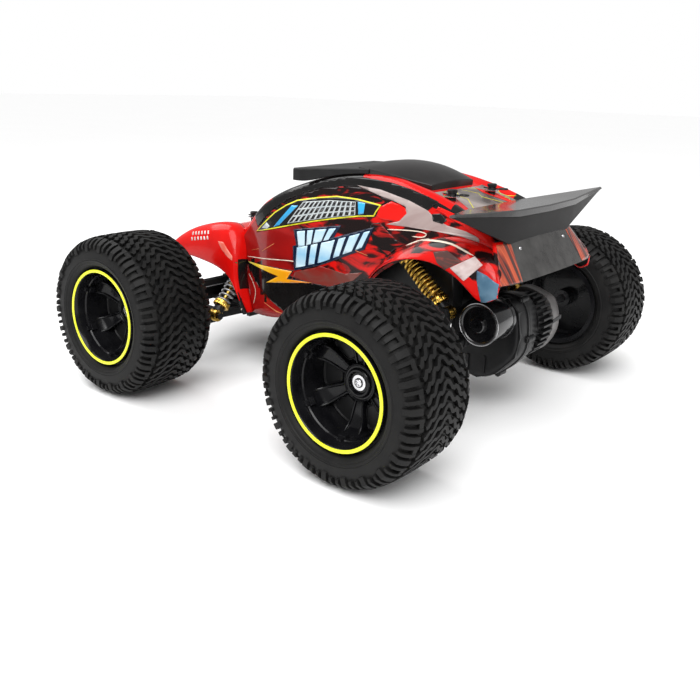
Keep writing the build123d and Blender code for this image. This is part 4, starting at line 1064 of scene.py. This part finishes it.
# one plastic in two copies: lighter on top as painted light, darker below as painted shade
wing_gloss_lit = finish_material("wing_gloss_lit", (0.016, 0.015, 0.015), (0.028, 0.026, 0.026), (0.14, 0.2),
                             depth=0.01, coat=0.5, specular=0.8)
wing_dull_shaded = finish_material("wing_dull_shaded", (0.005, 0.0045, 0.0045), (0.010, 0.009, 0.009), (0.42, 0.55),
                            specular=0.12)
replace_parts(build_wing(), "rear_wing")


# ---------------------------------------------------------------- shocks
SHOCK_EYES = {"front": (Vector((97, 79, 48)), Vector((97, 34, 97))),
              "rear": (Vector((-113, 50, 86)), Vector((-70, 50, 127)))}
LOW_SEAT, TOP_SEAT = 13.0, 11.0     # spring seats, from the lower and from the upper eye
SPRING_R, SPRING_TURNS = 5.5, 9.5
SPRINGS = {"front": (0.9, dull_steel, "spring_steel"), "rear": (1.25, gold, "spring_gold")}
COLLAR_R, COLLAR_RIDGES = 7.25, 28


def coil(bm, place, start, end, radius, wire, turns):
    """Round wire wound from start to end along an axis, with closed end turns."""
    steps, round_steps = int(turns * 28), 12
    rings = []
    for step in range(steps + 1):
        turn = turns * step / steps
        ends = min(turn, turns - turn, 1.0)
        closed = 0.5 - 0.5 * math.cos(math.pi * ends)
        share = (turn - 0.55 * (1 - closed) * (1 if turn < turns / 2 else -1) * ends) / turns
        s = start + wire + (end - start - 2 * wire) * share
        ring = []
        for k in range(round_steps):
            phi = 2 * math.pi * k / round_steps
            ring.append(place((s + wire * math.sin(phi), radius + wire * math.cos(phi)), 2 * math.pi * turn))
        rings.append(ring)
    loft(bm, rings)


def build_shock(end, side_name, side):
    """Wound spring between the seats, a knurled collar at each seat and the sleeve over the rod's end."""
    low, high = (Vector((p.x, side * p.y, p.z)) for p in SHOCK_EYES[end])
    length = (high - low).length
    axis = (high - low).normalized()
    place = axis_frame(low, axis)
    body, rod = f"{end}_{side_name}_shock", f"{end}_{side_name}_damper_rod"
    start, stop = LOW_SEAT, length - TOP_SEAT
    bm = bmesh.new()
    wire, metal, slot_name = SPRINGS[end]
    coil(bm, place, start, stop, SPRING_R, wire, SPRING_TURNS)
    spring = make_object(f"{end}_{side_name}_wound_spring", bm, [metal], None, slot_name, 60.0)
    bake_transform(spring)
    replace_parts(spring, f"{end}_{side_name}_shock_spring")
    bm = bmesh.new()
    knurl(bm, place, start - 4.4, start - 1.9, COLLAR_R, COLLAR_RIDGES, 0)
    knurl(bm, place, 3.4, 8.4, 4.6, 0, 1)
    make_object(f"{end}_{side_name}_lower_collar", bm, [gold, satin], rod, "gold_anodised")
    bm = bmesh.new()
    knurl(bm, place, stop + 1.8, stop + 4.2, COLLAR_R, COLLAR_RIDGES, 0)
    for step in range(7):
        s = length * 0.5 + 1.7 * step
        lathe(bm, [(s, 3.6), (s, 4.0), (s + 0.5, 4.3), (s + 1.0, 4.0), (s + 1.0, 3.6)], place, 40, 1)
    make_object(f"{end}_{side_name}_upper_collar", bm, [gold, black_steel], body, "gold_anodised")


def knurl(bm, place, start, end, radius, ridges, index):
    """Ring or sleeve with rounded edges; ridges are cut round it if there are any."""
    count = max(ridges * 4, 48)
    inner = radius * 0.72
    rings = []
    for step in range(count):
        angle = 2 * math.pi * step / count
        r = radius - (0.3 if ridges and step % 4 >= 2 else 0.0)
        profile = ((start, inner), (start, r - 0.4), (start + 0.4, r), (end - 0.4, r), (end, r - 0.4),
                   (end, inner))
        rings.append([bm.verts.new(place(point, angle)) for point in profile])
    join_rings(bm, rings + rings[:1], index)


for side_name, side in SIDES:
    for end in SHOCK_EYES:
        build_shock(end, side_name, side)


# ---------------------------------------------------------------- printed films on the shell, and films that paint highlights and reflections
def outer_surface(pieces):
    """Search tree over pieces as they are shown, in millimetres."""
    graph = bpy.context.evaluated_depsgraph_get()
    points, faces = [], []
    for piece in pieces:
        shown = piece.evaluated_get(graph)
        mesh = shown.to_mesh()
        first = len(points)
        points += [shown.matrix_world @ v.co / MM for v in mesh.vertices]
        faces += [[first + i for i in face.vertices] for face in mesh.polygons]
        shown.to_mesh_clear()
    return BVHTree.FromPolygons(points, faces)


def caster(tree, start, direction):
    """cast(u, v): the surface point and outward normal that a line from start(u, v) meets, or None."""
    direction = Vector(direction)

    def cast(u, v):
        point, normal, _, _ = tree.ray_cast(start(u, v), direction)
        if point is None:
            return None
        return point, normal if normal.dot(direction) < 0 else -normal

    return cast


FILM_GRID = 2.5
FILM_THICKNESS = 0.08
FILM_LIFT, LAYER_LIFT = 0.15, 0.09      # of the first layer over the shell, and of each one over the last


def lay_film(bm, outline, cast, layer, index, grid=FILM_GRID):
    """Cut a flat outline into a grid and lay it on the surface, one layer above another."""
    flat = bmesh.new()
    corners = [Vector((u, v, 0.0)) for u, v in outline]
    verts = [flat.verts.new(corner) for corner in corners]
    for triangle in tessellate_polygon([corners]):
        if len(set(triangle)) == 3:
            flat.faces.new([verts[i] for i in triangle])
    for axis in (0, 1):
        low, high = min(c[axis] for c in corners), max(c[axis] for c in corners)
        normal = Vector((1 - axis, axis, 0))
        for step in range(math.ceil(low / grid), math.ceil(high / grid)):
            bmesh.ops.bisect_plane(flat, geom=flat.verts[:] + flat.edges[:] + flat.faces[:],
                                   plane_co=normal * (step * grid), plane_no=normal)
    placed = {}
    for vert in flat.verts:
        found = cast(vert.co.x, vert.co.y)
        if found:
            point, normal = found
            placed[vert] = (bm.verts.new(point + normal * (FILM_LIFT + LAYER_LIFT * layer)), normal)
    for face in flat.faces:
        if not all(vert in placed for vert in face.verts):
            continue
        ring = [placed[vert][0] for vert in face.verts]
        if max((a.co - b.co).length for a, b in zip(ring, ring[1:] + ring[:1])) > 4 * grid:
            continue
        made = bm.faces.new(ring)
        made.material_index = index
        made.normal_update()
        if made.normal.dot(placed[face.verts[0]][1]) < 0:
            made.normal_flip()
    flat.free()


def finish_films(name, bm, materials):
    """Films of one area as a piece: thin, closed and riding on the chassis."""
    bmesh.ops.delete(bm, geom=[v for v in bm.verts if not v.link_faces], context="VERTS")
    solidify(add_piece(name, bm, materials, "chassis", "body_paint"), FILM_THICKNESS)


def stroke(points, width):
    """Outline of a thin line through points, pointed at its ends."""
    left, right = [], []
    for i, (u, v) in enumerate(points):
        a, b = points[max(i - 1, 0)], points[min(i + 1, len(points) - 1)]
        run = math.hypot(b[0] - a[0], b[1] - a[1])
        nu, nv = -(b[1] - a[1]) / run, (b[0] - a[0]) / run
        half = width / 2 * (0.25 if i in (0, len(points) - 1) else 1.0)
        left.append((u + nu * half, v + nv * half))
        right.append((u - nu * half, v - nv * half))
    return left + right[::-1]


def curved(points):
    """A polyline through points, rounded."""
    line = through(*points)
    count = (len(points) - 1) * 4
    return [tuple(line(i / count)) for i in range(count + 1)]


def band(top, bottom, start, end, lean=0.0):
    """Slanting bar between two edges, from one share of their length to another."""
    def on(edge, share):
        line = [Vector(p) for p in edge]
        runs = [(b - a).length for a, b in zip(line, line[1:])]
        left = max(0.0, min(1.0, share)) * sum(runs)
        for a, b, run in zip(line, line[1:], runs):
            if left <= run + 1e-9:
                return tuple(a.lerp(b, left / run))
            left -= run
        return tuple(line[-1])

    shares = (start, (start + end) / 2, end)
    return [on(top, share + lean) for share in shares] + [on(bottom, share) for share in reversed(shares)]


FILMS = {
    "black": gloss("film_black", (0.004, 0.004, 0.004), (0.009, 0.008, 0.008), coat=0.6),
    "yellow": fade_material("film_yellow", "X", 20, 90,
                            [(0.0, (0.85, 0.25, 0.005)), (0.45, (0.90, 0.42, 0.01)),
                             (0.8, (0.92, 0.70, 0.05)), (1.0, (0.90, 0.80, 0.20))]),
    "lemon": gloss("film_lemon", (0.72, 0.68, 0.03), (0.82, 0.78, 0.05)),
    "net": gloss("film_net", (0.42, 0.46, 0.48), (0.60, 0.64, 0.64), patch=160.0),
    "blue": fade_material("film_blue", "Z", 128, 156, [(0.1, (0.02, 0.30, 0.62)), (0.9, (0.03, 0.42, 0.80))]),
    "navy": gloss("film_navy", (0.004, 0.010, 0.030), (0.010, 0.022, 0.055)),
    "ice": fade_material("film_ice", "Z", 100, 136,
                         [(0.05, (0.60, 0.78, 0.86)), (0.35, (0.30, 0.58, 0.80)), (0.60, (0.62, 0.80, 0.88)),
                          (0.95, (0.46, 0.68, 0.84))]),
    # grey-pink film of the band along the rail: a painted reflection of the studio light
    "swoosh_reflection": brushed_paint("film_swoosh", [(0.3, (0.30, 0.21, 0.20)), (0.5, (0.46, 0.38, 0.36)),
                                            (0.7, (0.33, 0.27, 0.26))], (18, 18, 50), 0.6),
    "red": gloss("film_red", (0.62, 0.008, 0.005), (0.80, 0.012, 0.008)),
    "smoke": brushed_paint("film_smoke", [(0.35, (0.10, 0.006, 0.005)), (0.5, (0.24, 0.016, 0.012)),
                                          (0.68, (0.17, 0.05, 0.04))], (22, 22, 50), 1.2),
    "flame": brushed_paint("film_flame", [(0.52, (0.008, 0.004, 0.004)), (0.56, (0.20, 0.006, 0.005)),
                                          (0.60, (0.46, 0.010, 0.008)), (0.70, (0.03, 0.004, 0.004))],
                           (30, 36, 130), 1.4),
    "cream": gloss("film_cream", (0.75, 0.62, 0.50), (0.85, 0.74, 0.62)),
    "tan": gloss("film_tan", (0.60, 0.16, 0.06), (0.72, 0.24, 0.09)),
    "slate": gloss("film_slate", (0.06, 0.13, 0.20), (0.10, 0.19, 0.27), patch=120.0),
    "dust": brushed_paint("film_dust", [(0.42, (0.10, 0.05, 0.045)), (0.56, (0.30, 0.06, 0.05))],
                          (60, 60, 160), 0.8),
    # pale film: printed ticks near the hood, and the painted reflection on the rear fender
    "white": brushed_paint("film_white", [(0.35, (0.52, 0.36, 0.34)), (0.6, (0.78, 0.70, 0.68))],
                           (60, 60, 60), 0.4),
    # pale pink film on the front fender's inner slope: a painted highlight
    "pink_highlight": brushed_paint("film_blush", [(0.4, (0.72, 0.13, 0.09)), (0.6, (0.80, 0.28, 0.22))],
                           (40, 40, 20), 0.4),
}
FILM_NAMES = list(FILMS)

# side graphics: outlines as (x, z)
WINDOW = [(71, 121), (59, 131), (50, 139), (39, 146), (28, 151), (9, 155), (-10, 158), (-30, 158), (-52, 156),
          (-49, 151), (-48, 148), (-33, 146), (-13, 142), (9, 137), (36, 130), (51, 126)]
NET_TOP = [(22, 150.5), (-4, 154.5), (-29, 156)]
NET_BOTTOM = [(35, 132), (1, 140), (-31, 146.5)]
RAIL_BAND = [(62, 131.5), (55, 139), (40, 149.5), (26, 156), (8, 162.5), (-14, 166), (-32, 167.5), (-58, 165),
             (-76, 161.5), (-93, 157)]
TORN_EDGE = [(66, 127.5), *RAIL_BAND[1:7], (-48, 163), (-64, 160), (-55, 154), (-49, 147), (-33, 145),
             (-13, 141), (9, 136), (36, 129), (51, 125), (72, 119.5)]
# grey-pink band from the roof rail down to the rear fender: a painted reflection of the studio light
SWOOSH_REFLECTION = [(-27, 168), (-49, 167), (-76, 162), (-93, 157), (-101, 152), (-111, 149), (-126, 147), (-137, 144),
          (-137, 141), (-124, 143), (-101, 144), (-80, 144), (-60, 143.5), (-71, 147), (-76, 153),
          (-74, 157.5), (-64.5, 160), (-48, 163)]
BULB = [(-52, 155), (-61, 160), (-73, 157), (-77, 153), (-72, 147), (-56, 146), (-50, 148)]
BRUSH = [(-46, 142), (-54, 144), (-70, 134), (-79, 132), (-66, 122), (-57, 126), (-50, 131)]
BOLT = [(88.5, 92.3), (26, 95), (32, 87.5), (4, 89.5), (57, 80), (42, 88)]
LOW_BLACK_TOP = [(-50, 101), (-41, 97), (-31, 93), (-17, 90), (4, 89), (40, 92), (89, 93)]
SMOKE = [(27, 87), (23, 95), (-4, 104), (-28, 102), (-45, 106), (-35, 97), (-13, 89)]
MARK_UPPER = ([(25, 127), (-16, 135)], [(20.4, 115.4), (-11, 126)])
MARK_LOWER = ([(24.4, 114), (-9.5, 124), (-47, 137)], [(22, 98.6), (-4, 107), (-43, 124.5)])
UPPER_BARS = [(0.0, 0.20), (0.26, 0.40), (0.46, 0.72), (0.78, 0.94)]
LOWER_BARS = [(0.0, 0.15), (0.20, 0.29), (0.34, 0.52), (0.57, 0.66), (0.71, 0.84), (0.89, 0.98)]


# pale quad on the rear fender: a painted reflection of a studio lamp
FENDER_REFLECTION = [(-130, 126), (-143, 134.5), (-150, 130), (-141, 119)]
NET_ROWS = ((0.04, 0.30), (0.37, 0.63), (0.70, 0.96))
NET_CELLS = 12


def low_black():
    """Black area along the sill, from the door's front seam to the wheel arch."""
    edge = [(x, low_z(x) + 0.5) for x in (30, 20, 10, 0, -10, -20, -30, -32.4, -35, -40, -45, -50)]
    return [(73, 77.5), (62, 70), (33, 57.5)] + edge + LOW_BLACK_TOP


def rail_band():
    """Black band over the side window, up to the roof rail."""
    top = [(x, RAIL(x) - 3.0) for x in (-100, -90, -76, -58, -32, -14, 8, 26, 40, 55, 62, 70, 76)]
    return RAIL_BAND + top + [(70, 124)]


def side_graphics(side_name, side, tree):
    """All films of one side, laid on the shell from that side."""
    cast = caster(tree, lambda x, z: Vector((x, side * 160, z)), (0, -side, 0))
    bm = bmesh.new()

    def film(outline, layer, name, grid=FILM_GRID):
        lay_film(bm, outline, cast, layer, FILM_NAMES.index(name), grid)

    film(TORN_EDGE, 0, "flame")
    film(rail_band(), 1, "black", 1.8)
    film(low_black(), 0, "black")
    film(SMOKE, 0, "smoke")
    # painted reflection along the rail and the rear quarter
    film(SWOOSH_REFLECTION, 2, "swoosh_reflection")
    film(BULB, 1, "red")
    film(BRUSH, 0, "flame")
    film(inset(BOLT, -0.9), 1, "black")
    film(BOLT, 2, "yellow")
    film(inset(WINDOW, -0.5), 2, "lemon")
    film(inset(WINDOW, 0.5), 3, "black")
    film([*NET_TOP, *NET_BOTTOM[::-1], (28, 142)], 4, "net")
    for high, low in NET_ROWS:
        edges = [[tuple(Vector(a).lerp(Vector(b), share)) for a, b in zip(NET_TOP, NET_BOTTOM)]
                 for share in (high, low)]
        for cell in range(NET_CELLS):
            film(band(*edges, (cell + 0.2) / NET_CELLS, (cell + 0.84) / NET_CELLS, 0.006), 5, "black", 6.0)
    film([(33, 146.5), (26.5, 147), (43.5, 129.5), (49.5, 127.5)], 4, "blue")
    film([(-31, 156.2), (-38, 156), (-38.5, 148.3), (-34, 147.3)], 4, "blue")
    film([(64, 124.5), (58, 130), (54, 127.5), (57, 125)], 4, "net")
    for (top, bottom), bars in ((MARK_UPPER, UPPER_BARS), (MARK_LOWER, LOWER_BARS)):
        film(inset(top + bottom[::-1], -2.0), 1 if bars is UPPER_BARS else 2, "navy")
        for start, end in bars:
            film(band(top, bottom, start, end, 0.035), 3, "ice")
    film(stroke(curved([(87, 96.4), (60, 99.5), (23, 103.5), (6, 102)]), 0.7), 0, "cream")
    film(stroke(curved([(-62, 140), (-78, 141.5), (-90, 142), (-95.5, 141), (-93, 138.6), (-84, 138)]), 0.7),
         3, "cream")
    film(stroke([(64, 105), (48, 114)], 1.6), 0, "tan")
    film(stroke([(80, 103), (68, 106.5)], 1.2), 0, "tan")
    film(stroke([(-36, 121), (-48, 119)], 1.8), 3, "tan")
    film(stroke(curved([(84, 82), (77.5, 76), (73, 69), (75, 60), (79, 52)]), 0.7), 2, "cream")
    film(stroke([(60, 62), (45, 57.5), (38, 57)], 1.2), 1, "tan")
    for row in range(2):
        for tick in range(6):
            x, z = 121.5 + 3.9 * tick - 1.2 * row, 112.4 - 0.7 * tick - 4.4 * row
            film([(x, z), (x + 1.7, z - 0.4), (x + 3.3, z + 2.2), (x + 1.6, z + 2.7)], 0, "white")
    film([(-101, 160.7), (-112, 158), (-129, 153.5), (-143.5, 145.8), (-155, 136), (-154.5, 132.8),
          (-142, 140.7), (-124.5, 149.8), (-110, 154.5), (-99.5, 158.4)], 3, "red")
    film([(-97, 155), (-104, 156.2), (-110, 152.5), (-107, 149.5), (-99, 150.5)], 4, "black")
    # pink wedge on the front fender: a painted highlight
    film([(109, 108), (103, 108), (91.5, 97.5), (91, 94), (96, 96.5), (104, 102.5)], 0, "pink_highlight", 1.5)
    # painted reflection of a studio lamp on the rear fender
    film(FENDER_REFLECTION, 2, "white")
    film([(-147.5, 126.5), (-155, 124), (-162.8, 119.5), (-163.2, 110.6), (-156, 106.8), (-153.6, 106.9),
          (-152, 112), (-149, 120)], 1, "slate")
    film([(-114.5, 134), (-124, 136), (-136, 131), (-140, 133), (-127, 124.5), (-120, 128)], 1, "dust")
    film(stroke(curved([(-80, 131), (-92, 136.5), (-106, 139.6), (-124, 139.8), (-142, 134.8)]), 0.9), 1,
         "cream")
    finish_films(f"{side_name}_side_graphics", bm, FILMS.values())


def top_graphics(tree):
    """Jagged lines and a red patch on each side of the deck."""
    cast = caster(tree, lambda x, y: Vector((x, y, 260)), (0, 0, -1))
    bm = bmesh.new()
    for side in (1, -1):
        for points, width in (([(-84, 16), (-92, 30), (-97, 26), (-108, 38), (-113, 33), (-121, 40)], 0.8),
                              ([(-86, 4), (-95, 14), (-100, 10), (-112, 22), (-119, 18), (-124, 27)], 0.7),
                              ([(-88, 34), (-97, 40), (-102, 37), (-112, 43)], 0.7)):
            lay_film(bm, stroke([(x, side * y) for x, y in points], width), cast, 0, 1)
        red_patch = [(x, side * y) for x, y in ((-86, 24), (-95, 21), (-112, 29), (-116, 36), (-99, 35))]
        lay_film(bm, red_patch, cast, 1, 2)
    finish_films("top_graphics", bm, [FILMS[name] for name in ("black", "lemon", "red")])


def tail_graphics(tree):
    """Orange-red streaks at both edges of the tail panel."""
    cast = caster(tree, lambda y, z: Vector((-200, y, z)), (1, 0, 0))
    bm = bmesh.new()
    for side in (1, -1):
        streaks = [(side * y, z) for y, z in ((71.8, 118.2), (48, 118.2), (43, 141.5), (57, 141.5))]
        lay_film(bm, streaks, cast, 0, 0)
    finish_films("tail_graphics", bm, [film_tail])


film_tail = brushed_paint("film_tail", [(0.36, (0.05, 0.03, 0.03)), (0.44, (0.30, 0.05, 0.03)),
                                       (0.5, (0.55, 0.11, 0.05)), (0.57, (0.24, 0.04, 0.03)),
                                       (0.66, (0.07, 0.04, 0.035))], (12, 210, 12), 0.3)
body_surface = outer_surface([cabin, *fenders])
for side_name, side in SIDES:
    side_graphics(side_name, side, body_surface)
top_graphics(body_surface)
tail_graphics(outer_surface([tail_panel]))

# ---------------------------------------------------------------- finishes of the CAD nodes
NODE_MATERIALS = {
    "black_nylon": nylon, "rod_steel": dull_steel, "gold_anodised": gold, "spring_steel": bright_steel,
    "spring_gold": gold, "gearbox_nylon": nylon, "black_screw": black_steel, "clip_steel": black_steel,
    "body_paint": satin, "scoop_plastic": satin, "wing_plastic": charcoal, "battery_wrap": wrap_blue,
    "board_green": board_green, "servo_case": satin, "motor_can": motor_black, "cover_nylon": charcoal,
    "gear_steel": dull_steel, "gear_nylon": gear_nylon, "tyre_rubber": rubber, "rim_black": rim_gloss,
    "bright_screw": bright_steel,
}


WELD_DISTANCE = 0.002
NODE_EDGE = 0.3


def weld_and_round(obj):
    """Rounded edges on a CAD node, through modifiers only."""
    weld = obj.modifiers.new("weld", "WELD")
    weld.merge_threshold = WELD_DISTANCE * MM
    bevel(obj, NODE_EDGE)


for entry in frame["record"]["subparts"]:
    node = frame["nodes"][entry["node"]]
    node.data.materials.clear()
    node.data.materials.append(NODE_MATERIALS[entry["material_slot"]])
    if not node.hide_render:
        weld_and_round(node)


# ---------------------------------------------------------------- studio
WORLD_LIGHT = 0.42
WORLD_SEEN = 1.0
SUN_POWER = 2.5
FLOOR_HALF = 9000.0
LAMP_TARGET = (0, 0, 0.08)
LAMPS = (("key", (-0.75, 1.05, 1.15), 0.8, 6.0), ("fill", (-1.5, -0.5, 0.8), 0.7, 4.0),
         ("top", (0.85, 0.15, 1.15), 0.9, 9.0))


def build_world():
    """Soft pale surroundings: dimmer as a light than they look."""
    world = bpy.data.worlds.new("studio")
    world.use_nodes = True
    nodes, links = world.node_tree.nodes, world.node_tree.links
    background = nodes["Background"]
    setup(background, Color=(1.0, 1.0, 1.0, 1.0))
    seen = nodes.new("ShaderNodeLightPath").outputs["Is Camera Ray"]
    links.new(spread(nodes, links, seen, WORLD_LIGHT, WORLD_SEEN), background.inputs["Strength"])
    bpy.context.scene.world = world


def build_studio():
    """Pale floor, pale surroundings and soft lamps."""
    bm = bmesh.new()
    bmesh.ops.create_grid(bm, x_segments=2, y_segments=2, size=FLOOR_HALF)
    floor = make_object("floor", bm, [floor_material()], None)
    build_world()
    sun = bpy.data.lights.new("even_light", "SUN")
    sun.energy = SUN_POWER
    sun.angle = math.radians(50)
    link_new("even_light", sun).rotation_euler = (math.radians(-28), math.radians(-18), 0)
    for name, at, size, power in LAMPS:
        lamp = bpy.data.lights.new(name, "AREA")
        lamp.shape = "SQUARE"
        lamp.size = size
        lamp.energy = power
        obj = link_new(name, lamp)
        obj.location = at
        obj.rotation_mode = "QUATERNION"
        obj.rotation_quaternion = (Vector(LAMP_TARGET) - Vector(at)).to_track_quat("-Z", "Y")


def floor_material():
    mat, nodes, links, shader = new_material("pale_floor")
    mottle = noise(nodes, links, coordinates(nodes, links), 3.0, 3.0)
    links.new(ramp(nodes, links, mottle, [(0.3, (0.975, 0.975, 0.975)), (0.7, (0.985, 0.985, 0.985))]),
              shader.inputs["Base Color"])
    setup(shader, Roughness=0.6)
    return mat


CAMERA_AT = (-0.4055, 0.5371, 0.2422)
CAMERA_TURN = (76.21, -1.75, -141.07)
CAMERA_LENS = 42.35
CAMERA_SHIFT = (0.009, -0.0927)


def build_camera():
    """The main view: behind the car's rear left wheel, looking down a little."""
    lens = bpy.data.cameras.new("camera")
    lens.lens = CAMERA_LENS
    lens.shift_x, lens.shift_y = CAMERA_SHIFT
    lens.clip_start, lens.clip_end = 0.01, 50.0
    camera = link_new("camera", lens)
    camera.location = CAMERA_AT
    camera.rotation_euler = [math.radians(turn) for turn in CAMERA_TURN]
    bpy.context.scene.camera = camera


build_studio()
build_camera()
bpy.context.scene.view_settings.view_transform = "Standard"
